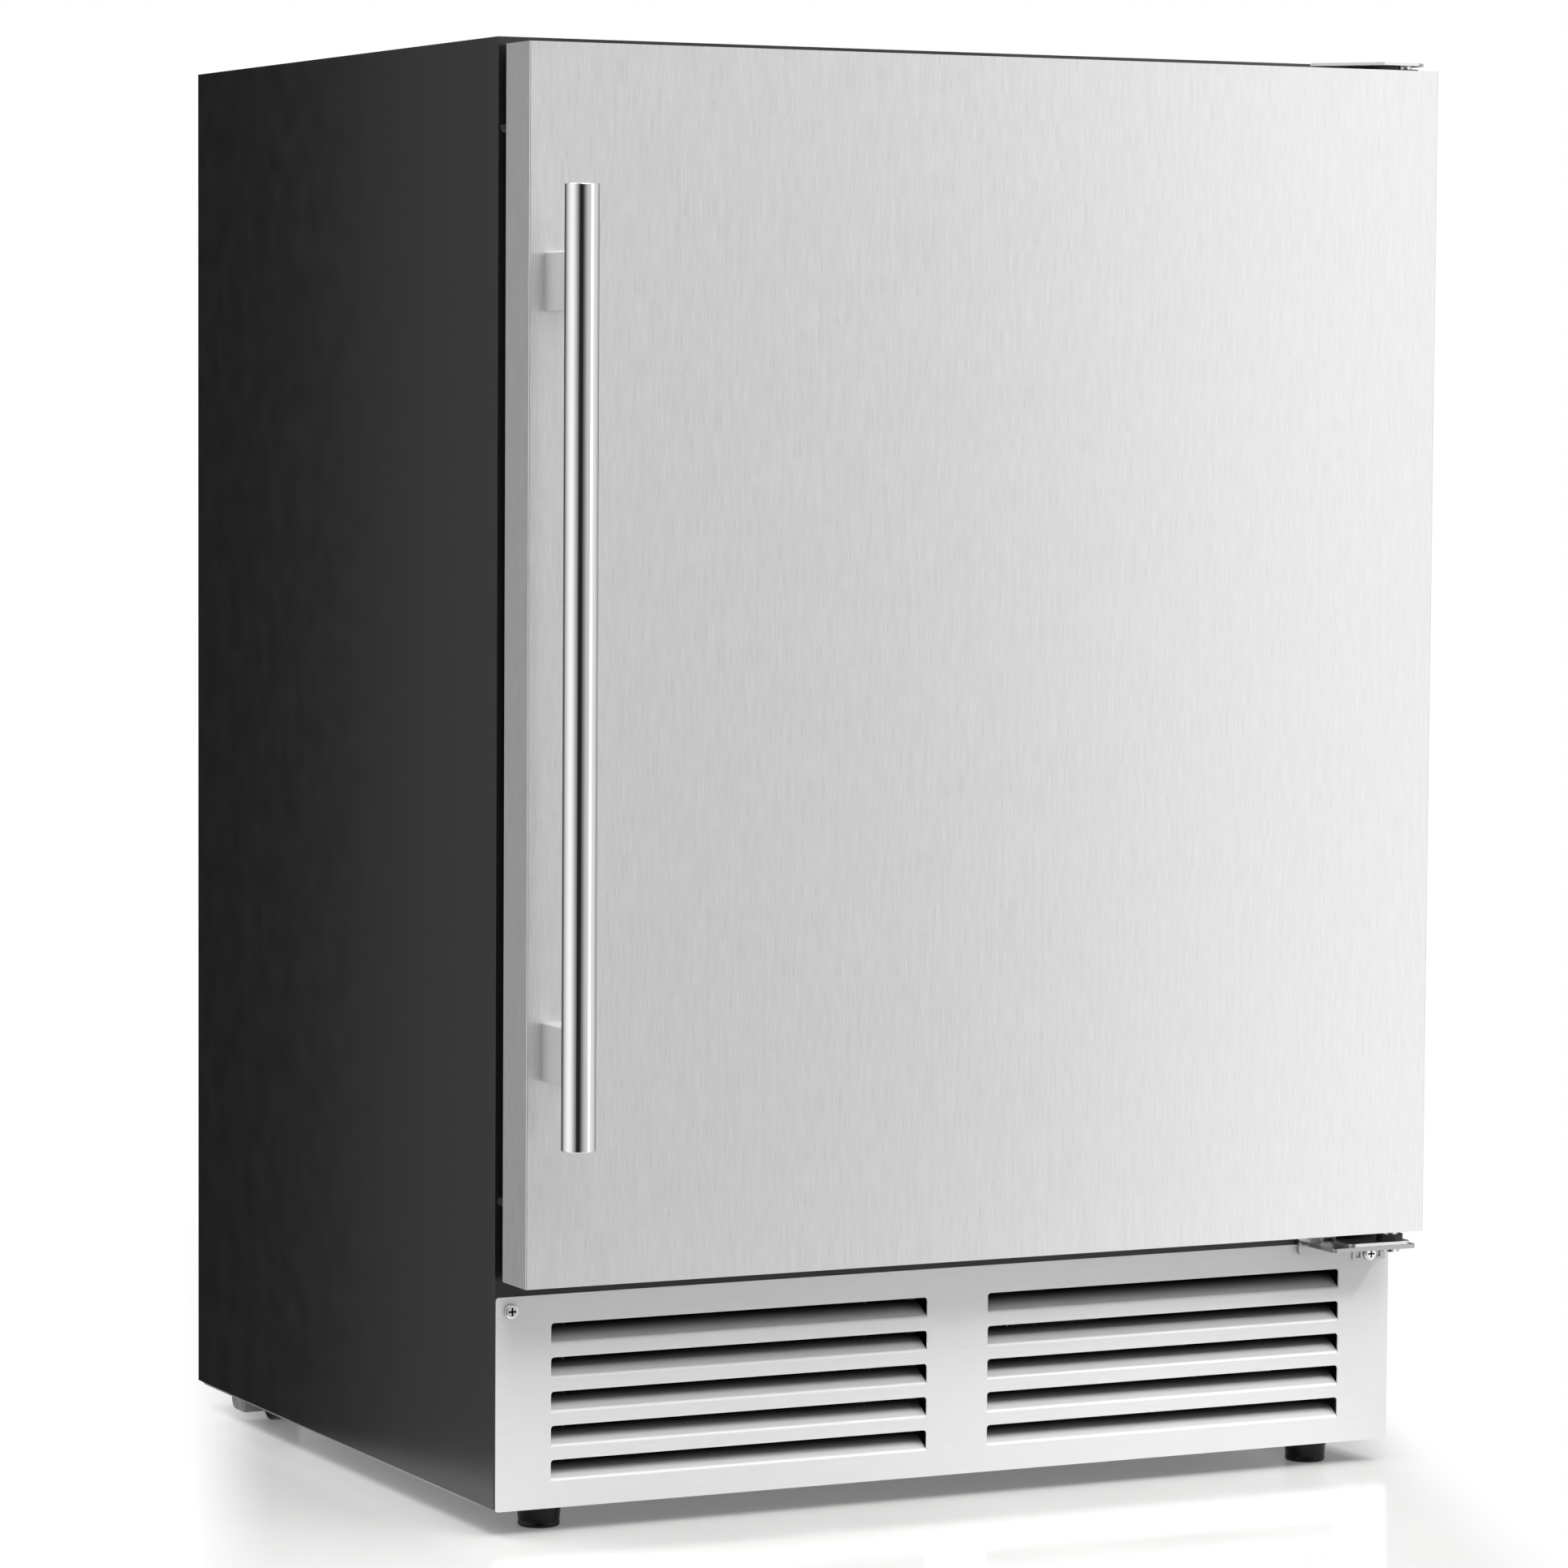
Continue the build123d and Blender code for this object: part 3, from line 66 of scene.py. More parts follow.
class Graph:
    """A short way to write a node tree."""

    def __init__(self, tree):
        self.tree = tree
        self.tree.nodes.clear()

    def add(self, kind, inputs=None, **settings):
        """A node with its settings, and its inputs given as values or as other nodes' outputs."""
        node = self.tree.nodes.new(kind)
        for name, value in settings.items():
            setattr(node, name, value)
        for name, value in (inputs or {}).items():
            if isinstance(value, bpy.types.NodeSocket):
                self.tree.links.new(value, node.inputs[name])
            else:
                node.inputs[name].default_value = value
        return node

    def math(self, operation, first, second=0.0):
        """One arithmetic step."""
        node = self.add("ShaderNodeMath", {0: first, 1: second}, operation=operation)
        return node.outputs[0]

    def ramp(self, factor, stops):
        """A colour ramp from (position, grey) stops."""
        node = self.add("ShaderNodeValToRGB", {"Fac": factor})
        node.color_ramp.interpolation = "EASE"
        elements = node.color_ramp.elements
        while len(elements) < len(stops):
            elements.new(0.5)
        for element, (position, grey) in zip(elements, stops):
            element.position = position
            element.color = (grey, grey, grey, 1.0)
        return node.outputs["Color"]

    def position(self):
        """The surface point's place in the part's own frame."""
        return self.add("ShaderNodeTexCoord").outputs["Object"]

    def noise(self, vector, scale, detail=3.0, roughness=0.55):
        """Noise about 0.5 at a scale in cells a metre."""
        inputs = {"Vector": vector, "Scale": scale, "Detail": detail, "Roughness": roughness}
        return self.add("ShaderNodeTexNoise", inputs).outputs["Fac"]

    def stretched(self, vector, scales):
        """The place with each axis scaled on its own, for grain that runs one way."""
        return self.add("ShaderNodeVectorMath", {0: vector, 1: scales}, operation="MULTIPLY").outputs[0]

    def smooth(self, value, low, high):
        """0 below low, 1 above high, with a soft passage between."""
        inputs = {"Value": value, "From Min": low, "From Max": high}
        node = self.add("ShaderNodeMapRange", inputs, interpolation_type="SMOOTHSTEP")
        return node.outputs["Result"]

    def span(self, factor, low, high):
        """A 0 to 1 value moved to the range low to high."""
        inputs = {"Value": factor, "From Min": 0.25, "From Max": 0.75, "To Min": low, "To Max": high}
        return self.add("ShaderNodeMapRange", inputs, clamp=True).outputs["Result"]

    def tint(self, factor, dark, light):
        """A colour between two, by a factor."""
        node = self.add("ShaderNodeMix", {"Factor": factor}, data_type="RGBA")
        node.inputs["A"].default_value = (*dark, 1.0)
        node.inputs["B"].default_value = (*light, 1.0)
        return node.outputs["Result"]

    def bump(self, height, distance):
        """A bump of a height in metres."""
        inputs = {"Height": height, "Distance": distance, "Strength": 1.0}
        return self.add("ShaderNodeBump", inputs).outputs["Normal"]


def new_material(name, base, roughness, metallic=0.0, normal=None, **extra):
    """A principled material. base and roughness may be functions of the graph."""
    material = bpy.data.materials.new(name)
    material.use_nodes = True
    graph = Graph(material.node_tree)
    shader = graph.add("ShaderNodeBsdfPrincipled")
    shader.inputs["Metallic"].default_value = metallic
    for socket, value in (("Base Color", base), ("Roughness", roughness), ("Normal", normal)):
        if value is None:
            continue
        if callable(value):
            graph.tree.links.new(value(graph), shader.inputs[socket])
        elif socket == "Base Color":
            shader.inputs[socket].default_value = (*value, 1.0)
        else:
            shader.inputs[socket].default_value = value
    for socket, value in extra.items():
        shader.inputs[socket.replace("_", " ")].default_value = value
    output = graph.add("ShaderNodeOutputMaterial")
    graph.tree.links.new(shader.outputs["BSDF"], output.inputs["Surface"])
    return material


def upright_grain(graph, width, length):
    """Noise drawn out along Z, the same on front and side faces."""
    parts = graph.add("ShaderNodeSeparateXYZ", {"Vector": graph.position()})
    across = graph.math("ADD", parts.outputs["X"], parts.outputs["Y"])
    inputs = {
        "X": graph.math("MULTIPLY", across, 1 / width),
        "Z": graph.math("MULTIPLY", parts.outputs["Z"], 1 / length),
    }
    place = graph.add("ShaderNodeCombineXYZ", inputs).outputs["Vector"]
    return graph.noise(place, 1.0, detail=2.0, roughness=0.6)


# ---------------------------------------------------------------- materials


def brushed_steel(name, dark, light, rough, fine=0.0006, long=0.015, depth=0.000004):
    """Steel with short upright brush marks at two scales."""

    def both(graph):
        small = upright_grain(graph, fine, long)
        large = upright_grain(graph, fine * 5, long * 3)
        return graph.math("ADD", graph.math("MULTIPLY", small, 0.7), graph.math("MULTIPLY", large, 0.3))

    return new_material(
        name,
        base=lambda graph: graph.tint(graph.span(both(graph), -0.6, 1.6), dark, light),
        roughness=lambda graph: graph.span(both(graph), rough - 0.04, rough + 0.05),
        metallic=0.85,
        normal=lambda graph: graph.bump(both(graph), depth),
    )


def satin_steel(name, grey, rough, grain_axis=0, metallic=1.0, painted_shade_depth=None):
    """Plain satin sheet with a very fine grain along one axis.

    Its last argument gives the range of y, going in from the front, over which painted shade darkens the
    sheet to near black.
    """
    scales = [2600.0, 2600.0, 2600.0]
    scales[grain_axis] = 45.0

    def grain(graph):
        return graph.noise(graph.stretched(graph.position(), scales), 1.0, detail=2.0)

    def colour(graph):
        unshaded = graph.tint(graph.span(grain(graph), 0.0, 1.0), [grey * 0.97] * 3, [grey * 1.03] * 3)
        if painted_shade_depth is None:
            return unshaded
        parts = graph.add("ShaderNodeSeparateXYZ", {"Vector": graph.position()}).outputs
        mixed = graph.add("ShaderNodeMix", {"Factor": graph.smooth(parts["Y"], *painted_shade_depth)}, data_type="RGBA")
        graph.tree.links.new(unshaded, mixed.inputs["A"])
        # Painted shade: near black deep behind the front, standing in for the shade there
        mixed.inputs["B"].default_value = (0.03, 0.03, 0.03, 1.0)
        return mixed.outputs["Result"]

    return new_material(
        name,
        base=colour,
        roughness=lambda graph: graph.span(grain(graph), rough - 0.03, rough + 0.04),
        metallic=metallic,
        normal=lambda graph: graph.bump(grain(graph), 0.000002),
    )


def coated(name, dark, light, rough, peel=450.0, depth=0.00002, **extra):
    """Coated or moulded surface: fine peel in the gloss and a faint mottle in the colour."""

    def fine(graph):
        return graph.noise(graph.position(), peel, detail=2.0)

    def broad(graph):
        return graph.noise(graph.position(), peel * 0.04, detail=4.0)

    return new_material(
        name,
        base=lambda graph: graph.tint(graph.span(broad(graph), 0.0, 1.0), dark, light),
        roughness=lambda graph: graph.span(broad(graph), rough - 0.03, rough + 0.04),
        normal=lambda graph: graph.bump(fine(graph), depth),
        **extra,
    )


def polished(name, tint, rough, **extra):
    """Polished metal with faint haze and hairline marks along Z."""

    def marks(graph):
        return graph.noise(graph.stretched(graph.position(), (1800.0, 1800.0, 12.0)), 1.0, detail=2.0)

    return new_material(
        name,
        base=lambda graph: graph.tint(graph.span(marks(graph), 0.0, 1.0), [c * 0.97 for c in tint], tint),
        roughness=lambda graph: graph.span(marks(graph), rough, rough + 0.025),
        metallic=1.0,
        **extra,
    )


# How far from its axis a grille screw's painted recess shade fades out, and at what depth behind the head's
# front it starts
RECESS_EDGE = (0.0024, 0.0032)
RECESS_DEPTH = (0.0005, 0.0009)
# The left screw's head sits this much further back, as it has no hinge tab under it
HINGE_TAB_STEP = 0.001


def recessed_screws(name, box):
    """Bright finish for the grille's two screws, with painted shade in their cross recesses."""
    low, high = box
    radius = (high[2] - low[2]) / 2
    half_span = (high[0] - low[0]) / 2 - radius

    def recess_shade(graph):
        parts = graph.add("ShaderNodeSeparateXYZ", {"Vector": graph.position()}).outputs
        from_middle = graph.math("SUBTRACT", parts["X"], (low[0] + high[0]) / 2)
        across = graph.math("SUBTRACT", graph.math("ABSOLUTE", from_middle), half_span)
        up = graph.math("SUBTRACT", parts["Z"], low[2] + radius)
        squares = [graph.math("MULTIPLY", value, value) for value in (across, up)]
        off_axis = graph.math("SQRT", graph.math("ADD", *squares))
        inner = graph.math("SUBTRACT", 1.0, graph.smooth(off_axis, *RECESS_EDGE))
        on_left = graph.math("LESS_THAN", from_middle, 0.0)
        behind_front = graph.math("SUBTRACT", parts["Y"], low[1])
        depth = graph.math("SUBTRACT", behind_front, graph.math("MULTIPLY", on_left, HINGE_TAB_STEP))
        return graph.math("MULTIPLY", inner, graph.smooth(depth, *RECESS_DEPTH))

    return new_material(
        name,
        # Painted shade: the cross recesses turn near black
        base=lambda graph: graph.tint(recess_shade(graph), [0.74] * 3, [0.015] * 3),
        roughness=lambda graph: graph.span(graph.noise(graph.position(), 900.0), 0.14, 0.24),
        metallic=1.0,
    )


def galvanised(name, dark, light):
    """Zinc coated sheet with its patchy crystal pattern."""

    def spangle(graph):
        inputs = {"Vector": graph.position(), "Scale": 190.0, "Randomness": 1.0}
        cells = graph.add("ShaderNodeTexVoronoi", inputs)
        return graph.add("ShaderNodeRGBToBW", {"Color": cells.outputs["Color"]}).outputs["Val"]

    return new_material(
        name,
        base=lambda graph: graph.tint(spangle(graph), dark, light),
        roughness=lambda graph: graph.span(spangle(graph), 0.4, 0.48),
        metallic=0.8,
        normal=lambda graph: graph.bump(spangle(graph), 0.000003),
    )


def foam_material():
    """Closed cell foam, pale yellow, with pores."""

    def pores(graph):
        cells = graph.add("ShaderNodeTexVoronoi", {"Vector": graph.position(), "Scale": 900.0})
        return cells.outputs["Distance"]

    return new_material(
        "insulation_foam",
        base=lambda graph: graph.tint(pores(graph), (0.62, 0.5, 0.27), (0.82, 0.73, 0.48)),
        roughness=0.9,
        normal=lambda graph: graph.bump(pores(graph), 0.0003),
    )


GRILLE_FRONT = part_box("grille")[0][1]
# Range of y over which painted shade darkens the grille's blades, deeper behind its face
GRILLE_PAINTED_SHADE = (GRILLE_FRONT + 0.003, GRILLE_FRONT + 0.0135)

MATERIALS = {
    "cabinet_black": coated(
        "cabinet_black",
        (0.0055, 0.0055, 0.0056),
        (0.006, 0.006, 0.0061),
        0.22,
        peel=1100.0,
        depth=0.000003,
        Specular_IOR_Level=0.8,
    ),
    "rail_black": coated("rail_black", (0.004, 0.004, 0.0042), (0.006, 0.006, 0.0062), 0.35),
    "door_steel": brushed_steel("door_steel", (0.715, 0.715, 0.715), (0.795, 0.795, 0.793), 0.3),
    # Painted shade darkens the grille's blades deep behind its face
    "grille_steel": satin_steel("grille_steel", 0.72, 0.55, metallic=0.3, painted_shade_depth=GRILLE_PAINTED_SHADE),
    "handle_polished": polished(
        "handle_polished", (0.93, 0.93, 0.935), 0.025, Specular_Tint=(0.2, 0.2, 0.2, 1.0)
    ),
    "post_satin": satin_steel("post_satin", 0.66, 0.4, grain_axis=2, metallic=0.4),
    "screw_bright": polished("screw_bright", (0.78, 0.78, 0.79), 0.1),
    "galvanised": galvanised("galvanised", (0.4, 0.405, 0.41), (0.5, 0.505, 0.515)),
    # Painted shade: a darkened copy of galvanised for the sheets in the machine bay
    "bay_galvanised_painted_shade": galvanised("bay_galvanised_painted_shade", (0.07, 0.07, 0.072), (0.12, 0.12, 0.122)),
    "liner_white": coated("liner_white", (0.74, 0.755, 0.76), (0.79, 0.8, 0.805), 0.3, peel=260.0),
    "gasket_black": coated("gasket_black", (0.012, 0.012, 0.012), (0.02, 0.02, 0.02), 0.55, peel=900.0),
    "foam": foam_material(),
    "foot_black": coated(
        "foot_black",
        (0.002, 0.002, 0.002),
        (0.005, 0.005, 0.005),
        0.25,
        peel=700.0,
        depth=0.00001,
        Specular_IOR_Level=0.22,
    ),
    "plastic_black": coated("plastic_black", (0.012, 0.012, 0.013), (0.02, 0.02, 0.021), 0.45, peel=900.0),
    "plastic_white": coated("plastic_white", (0.7, 0.715, 0.72), (0.76, 0.77, 0.775), 0.35, peel=600.0),
    "rubber_black": coated("rubber_black", (0.014, 0.014, 0.014), (0.024, 0.024, 0.023), 0.7, peel=800.0),
    "copper": new_material(
        "copper",
        base=lambda graph: graph.tint(
            graph.span(graph.noise(graph.position(), 60.0, detail=4.0), 0.0, 1.0),
            (0.09, 0.045, 0.03),
            (0.26, 0.12, 0.07),
        ),
        roughness=lambda graph: graph.span(graph.noise(graph.position(), 150.0), 0.45, 0.6),
        metallic=0.7,
    ),
    "compressor_black": coated(
        "compressor_black", (0.006, 0.006, 0.007), (0.012, 0.012, 0.013), 0.2, peel=300.0, depth=0.00006
    ),
    "fin_aluminium": satin_steel("fin_aluminium", 0.4, 0.4, grain_axis=2),
    "shelf_wire": polished("shelf_wire", (0.8, 0.81, 0.82), 0.14),
    "hinge_silver": satin_steel("hinge_silver", 0.78, 0.34),
    "hinge_grey": satin_steel("hinge_grey", 0.45, 0.36),
    "display_dark": coated(
        "display_dark", (0.006, 0.006, 0.008), (0.009, 0.009, 0.011), 0.08, peel=200.0, depth=0.000004
    ),
    "digit_light": coated(
        "digit_light",
        (0.1, 0.5, 0.75),
        (0.14, 0.56, 0.8),
        0.4,
        Emission_Color=(0.25, 0.75, 1.0, 1.0),
        Emission_Strength=1.6,
    ),
    "lamp_white": coated("lamp_white", (0.8, 0.81, 0.8), (0.88, 0.89, 0.88), 0.4, peel=500.0),
}


# Sheets inside the machine bay, darkened with painted shade behind the grille
BAY_SHADED_SHEETS = ("bay_deck", "fan_shroud", "grille_brackets")


def dress_nodes():
    """Gives every CAD node the material of its slot in the record."""
    for part in frame["record"]["subparts"]:
        mesh = NODES[part["node"]].data
        mesh.materials.clear()
        # The bay sheets take the galvanised copy darkened with painted shade
        kind = "bay_galvanised_painted_shade" if part["node"] in BAY_SHADED_SHEETS else part["material_slot"]
        mesh.materials.append(MATERIALS[kind])
    # The grille screws take a finish with painted shade in their recesses
    screws = NODES["grille_screws"].data
    screws.materials.clear()
    screws.materials.append(recessed_screws("grille_screw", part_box("grille_screws")))


# ---------------------------------------------------------------- pieces


def middle(name):
    """Low corner, high corner and middle of a node's box."""
    low, high = (Vector(corner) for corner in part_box(name))
    return low, high, (low + high) / 2


def new_piece(name, shape, body, slot, material=None, smooth=True):
    """A finished piece from a bmesh, riding on a body, in its slot's material unless told otherwise."""
    mesh = bpy.data.meshes.new(name)
    bmesh.ops.recalc_face_normals(shape, faces=shape.faces)
    shape.to_mesh(mesh)
    shape.free()
    piece = bpy.data.objects.new(name, mesh)
    bpy.context.scene.collection.objects.link(piece)
    mesh.materials.append(MATERIALS[material or slot])
    if smooth:
        mesh.shade_smooth()
        mesh.set_sharp_from_angle(angle=math.radians(35))
    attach(piece, body)
    return piece


def mitred_ring(profile, half_x, low_z, high_z):
    """A closed section carried round an upright rectangle, with mitred corners.

    Each section point is (distance outward from the rectangle, y).
    """
    shape = bmesh.new()
    corners = (
        (-half_x, low_z, -1, -1),
        (half_x, low_z, 1, -1),
        (half_x, high_z, 1, 1),
        (-half_x, high_z, -1, 1),
    )
    rings = []
    for x, z, side, level in corners:
        rings.append([shape.verts.new((x + side * out, y, z + level * out)) for out, y in profile])
    count = len(profile)
    for corner in range(4):
        here, there = rings[corner], rings[(corner + 1) % 4]
        for index in range(count):
            following = (index + 1) % count
            shape.faces.new((here[index], here[following], there[following], there[index]))
    return shape


def magnet_seal():
    """Door seal: a magnet strip on top of two soft folds, inside the CAD gasket's own ring."""
    low, high, centre = middle("door_gasket")
    width = 0.014
    depth = high.y - low.y
    front, back = low.y, high.y
    fold_inset = 0.0014
    fold_depth = 0.0012
    fold_share = 0.72
    neck_inset = 0.0022
    magnet_inset = 0.0006
    section = []
    steps = 10
    for outward in (1, -1):
        side = []
        for step in range(steps + 1):
            share = step / steps
            fold = fold_depth * math.cos(4 * math.pi * share)
            side.append((outward * (width / 2 - fold_inset + fold), front + depth * fold_share * share))
        side.append((outward * (width / 2 - neck_inset), front + depth * 0.76))
        side.append((outward * (width / 2 - magnet_inset), front + depth * 0.8))
        side.append((outward * (width / 2 - magnet_inset), back - magnet_inset))
        side.append((outward * (width / 2 - fold_inset), back))
        section += side if outward > 0 else side[::-1]
    shape = mitred_ring(section, high.x - centre.x - width / 2, low.z + width / 2, high.z - width / 2)
    seal = new_piece("magnet_seal", shape, "door", "gasket_black")
    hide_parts("door_gasket")


def seam_strip():
    """Folded strip that closes the seam between the rear sheet and the machine bay's cover."""
    low, high, _ = middle("rear_panel")
    top = low.z + 0.004
    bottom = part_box("compressor_cover")[1].z - 0.001
    edge = high.y + 0.0001
    crown = high.y + 0.0006
    inside = low.y - 0.0002
    slope = 0.0009
    section = (
        (edge, bottom),
        (crown, bottom + slope),
        (crown, top - slope),
        (edge, top),
        (inside, top),
        (inside, bottom),
    )
    shape = bmesh.new()
    ends = [[shape.verts.new((x, y, z)) for y, z in section] for x in (low.x, high.x)]
    for index in range(len(section)):
        following = (index + 1) % len(section)
        shape.faces.new((ends[0][index], ends[0][following], ends[1][following], ends[1][index]))
    for end in ends:
        shape.faces.new(end)
    new_piece("seam_strip", shape, "cabinet", "galvanised", smooth=False)


# Section of a thread's ridge: (share of the pitch, share of the depth)
THREAD_RIDGE = ((-0.5, 0.0), (-0.12, 1.0), (0.12, 1.0), (0.5, 0.0))
THREAD_SEGMENTS = 24


def screw_thread(name, x, y, low, high, radius, pitch, body, slot):
    """A helical ridge round an upright stud."""
    shape = bmesh.new()
    depth = pitch * 0.45
    turns = (high - low) / pitch - 1
    rings = []
    for step in range(int(turns * THREAD_SEGMENTS) + 1):
        angle = 2 * math.pi * step / THREAD_SEGMENTS
        z = low + pitch * (0.5 + step / THREAD_SEGMENTS)
        ring = []
        for along, out in THREAD_RIDGE:
            reach = radius - depth * (1 - out)
            place = (x + reach * math.cos(angle), y + reach * math.sin(angle), z + along * pitch)
            ring.append(shape.verts.new(place))
        rings.append(ring)
    for here, there in zip(rings, rings[1:]):
        for first in range(len(THREAD_RIDGE) - 1):
            shape.faces.new((here[first], here[first + 1], there[first + 1], there[first]))
        shape.faces.new((here[-1], here[0], there[0], there[-1]))
    for end in (rings[0], rings[-1]):
        shape.faces.new(end)
    return new_piece(name, shape, body, slot)


def lathe(profile, x, y, segments=48):
    """A closed turned shape round an upright axis, from (radius, z) points that start and end on the axis."""
    shape = bmesh.new()
    rings = []
    angles = [2 * math.pi * step / segments for step in range(segments)]
    for radius, z in profile[1:-1]:
        places = [(x + radius * math.cos(angle), y + radius * math.sin(angle), z) for angle in angles]
        rings.append([shape.verts.new(place) for place in places])
    for here, there in zip(rings, rings[1:]):
        for step in range(segments):
            following = (step + 1) % segments
            shape.faces.new((here[step], here[following], there[following], there[step]))
    for ring, (_, z) in ((rings[0], profile[0]), (rings[-1], profile[-1])):
        tip = shape.verts.new((x, y, z))
        for step in range(segments):
            shape.faces.new((ring[step], ring[(step + 1) % segments], tip))
    return shape


# Height of a foot's moulding, and its stud: radius under the thread, radius over it, pitch
FOOT_TOP = 0.0135
STUD_CORE = 0.0036
STUD_RADIUS = 0.004
STUD_PITCH = 0.00125


def levelling_foot(name):
    """Moulded foot with a rounded shoulder and a narrower sole, on its threaded stud."""
    low, high, centre = middle(name)
    wide = (high.x - low.x) / 2
    top = FOOT_TOP
    core = STUD_CORE
    profile = [
        (0.0, 0.0008),
        (wide * 0.6, 0.0008),
        (wide * 0.66, 0.0),
        (wide * 0.88, 0.0),
        (wide * 0.92, 0.0005),
        (wide * 0.935, 0.0022),
        (wide * 0.915, 0.0027),
        (wide * 0.92, 0.0034),
        (wide * 0.975, top - 0.0022),
        (wide * 0.985, top - 0.0014),
        (wide * 0.965, top - 0.0006),
        (wide * 0.91, top),
        (core * 1.6, top),
        (core, top + 0.0004),
        (core, high.z - 0.0006),
        (core - 0.0006, high.z),
        (0.0, high.z),
    ]
    body = new_piece(name + "_moulding", lathe(profile, centre.x, centre.y), name, "foot_black")
    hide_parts(name)
    thread_top = high.z - 0.001
    place = (centre.x, centre.y, top, thread_top, STUD_RADIUS, STUD_PITCH)
    screw_thread(name + "_stud", *place, name, "foot_black")


def bar_mesh(shape, start, end, width, thick, y):
    """A flat bar with pointed ends between two points of an upright plane."""
    along = (Vector(end) - Vector(start)).normalized()
    side = Vector((-along.y, along.x)) * width / 2
    first, last = Vector(start), Vector(end)
    outline = [
        first,
        first + along * width / 2 + side,
        last - along * width / 2 + side,
        last,
        last - along * width / 2 - side,
        first + along * width / 2 - side,
    ]
    near = [shape.verts.new((point.x, y - thick, point.y)) for point in outline]
    far = [shape.verts.new((point.x, y, point.y)) for point in outline]
    shape.faces.new(near)
    shape.faces.new(far[::-1])
    for index in range(6):
        following = (index + 1) % 6
        shape.faces.new((near[index], near[following], far[following], far[index]))


def display_digits():
    """A two digit reading on the control display, from seven-bar figures, and a degree dot."""
    low, high, centre = middle("control_display")
    bars = {"3": "abcdg", "8": "abcdefg"}
    tall = (high.z - low.z) * 0.62
    wide = tall * 0.52
    ends = {
        "a": ((0, 1), (1, 1)),
        "b": ((1, 1), (1, 0.5)),
        "c": ((1, 0.5), (1, 0)),
        "d": ((0, 0), (1, 0)),
        "e": ((0, 0.5), (0, 0)),
        "f": ((0, 1), (0, 0.5)),
        "g": ((0, 0.5), (1, 0.5)),
    }
    shape = bmesh.new()
    for place, figure in enumerate("38"):
        left = centre.x - wide * 1.35 + place * wide * 1.6
        bottom = centre.z - tall / 2
        for bar in bars[figure]:
            start, end = (Vector((left + u * wide, bottom + v * tall)) for u, v in ends[bar])
            inset = (end - start).normalized() * 0.0003
            bar_mesh(shape, start + inset, end - inset, tall * 0.11, 0.00015, low.y)
    dot = Vector((centre.x + wide * 1.75, centre.z + tall * 0.42))
    bar_mesh(shape, dot - Vector((0.0008, 0)), dot + Vector((0.0008, 0)), 0.0014, 0.00015, low.y)
    new_piece("display_digits", shape, "cabinet", "lamp_white", material="digit_light", smooth=False)


# ---------------------------------------------------------------- studio


# Horizontal direction across which the floor passes into the backdrop first
FLOOR_ACROSS = (0.938, -0.346, 0.0)
# Where the floor passes over: (start and end round the middle, start and end across), in metres.
# For light it grows clear, and for the camera it grows white.
FLOOR_CLEAR = ((0.42, 0.6), (0.3, 0.38))
FLOOR_WHITE = ((0.55, 1.1), (0.33, 0.39))
FLOOR_RADIUS = 14.0


def floor():
    """Pale glossy floor near the refrigerator, passing into the white backdrop further out."""
    mesh = bpy.data.meshes.new("studio_floor")
    shape = bmesh.new()
    bmesh.ops.create_circle(shape, cap_ends=True, segments=96, radius=FLOOR_RADIUS)
    shape.to_mesh(mesh)
    shape.free()
    plane = bpy.data.objects.new("studio_floor", mesh)
    bpy.context.scene.collection.objects.link(plane)
    material = bpy.data.materials.new("studio_floor")
    material.use_nodes = True
    graph = Graph(material.node_tree)
    place = graph.position()
    mottle = graph.noise(place, 9.0, detail=3.0)
    inputs = {
        "Base Color": graph.tint(graph.span(mottle, 0.0, 1.0), (0.655, 0.657, 0.65), (0.675, 0.677, 0.67)),
        "Roughness": graph.span(mottle, 0.1, 0.16),
        "Specular IOR Level": 0.4,
        "Emission Color": (1.0, 1.0, 0.985, 1.0),
        "Emission Strength": 0.13,
    }
    near = graph.add("ShaderNodeBsdfPrincipled", inputs)
    white = graph.add("ShaderNodeEmission", {"Color": (1.0, 1.0, 1.0, 1.0), "Strength": 1.0})
    clear = graph.add("ShaderNodeBsdfTransparent")
    seen = graph.add("ShaderNodeLightPath").outputs["Is Camera Ray"]
    distance = graph.add("ShaderNodeVectorMath", {0: place}, operation="LENGTH").outputs["Value"]
    across = graph.add("ShaderNodeVectorMath", {0: place, 1: FLOOR_ACROSS}, operation="DOT_PRODUCT")
    across = graph.math("ABSOLUTE", across.outputs["Value"])
    mixed = []
    for beyond, (round_ends, across_ends) in ((clear, FLOOR_CLEAR), (white, FLOOR_WHITE)):
        fade = graph.math("MAXIMUM", graph.smooth(distance, *round_ends), graph.smooth(across, *across_ends))
        shaders = {0: fade, 1: near.outputs[0], 2: beyond.outputs[0]}
        mixed.append(graph.add("ShaderNodeMixShader", shaders).outputs[0])
    mixed = graph.add("ShaderNodeMixShader", {0: seen, 1: mixed[0], 2: mixed[1]})
    output = graph.add("ShaderNodeOutputMaterial")
    graph.tree.links.new(mixed.outputs[0], output.inputs["Surface"])
    mesh.materials.append(material)


WALL_STRENGTH = 1.2
# Brightness of the studio walls by azimuth, in degrees from -Y towards +X
WALLS = (
    (-180, 0.02),
    (-160, 0.02),
    (-150, 0.06),
    (-140, 0.35),
    (-130, 0.62),
    (-118, 0.8),
    (-97, 1.0),
    (-84, 0.98),
    (-72, 0.8),
    (-61, 0.52),
    (-49, 0.31),
    (-43, 0.16),
    (-37, 0.02),
    (-17, 0.02),
    (-10, 0.12),
    (1, 0.28),
    (12, 0.5),
    (24, 0.6),
    (36, 0.65),
    (50, 0.7),
    (63, 0.75),
    (80, 0.8),
    (101, 0.6),
    (138, 0.17),
    (160, 0.05),
)


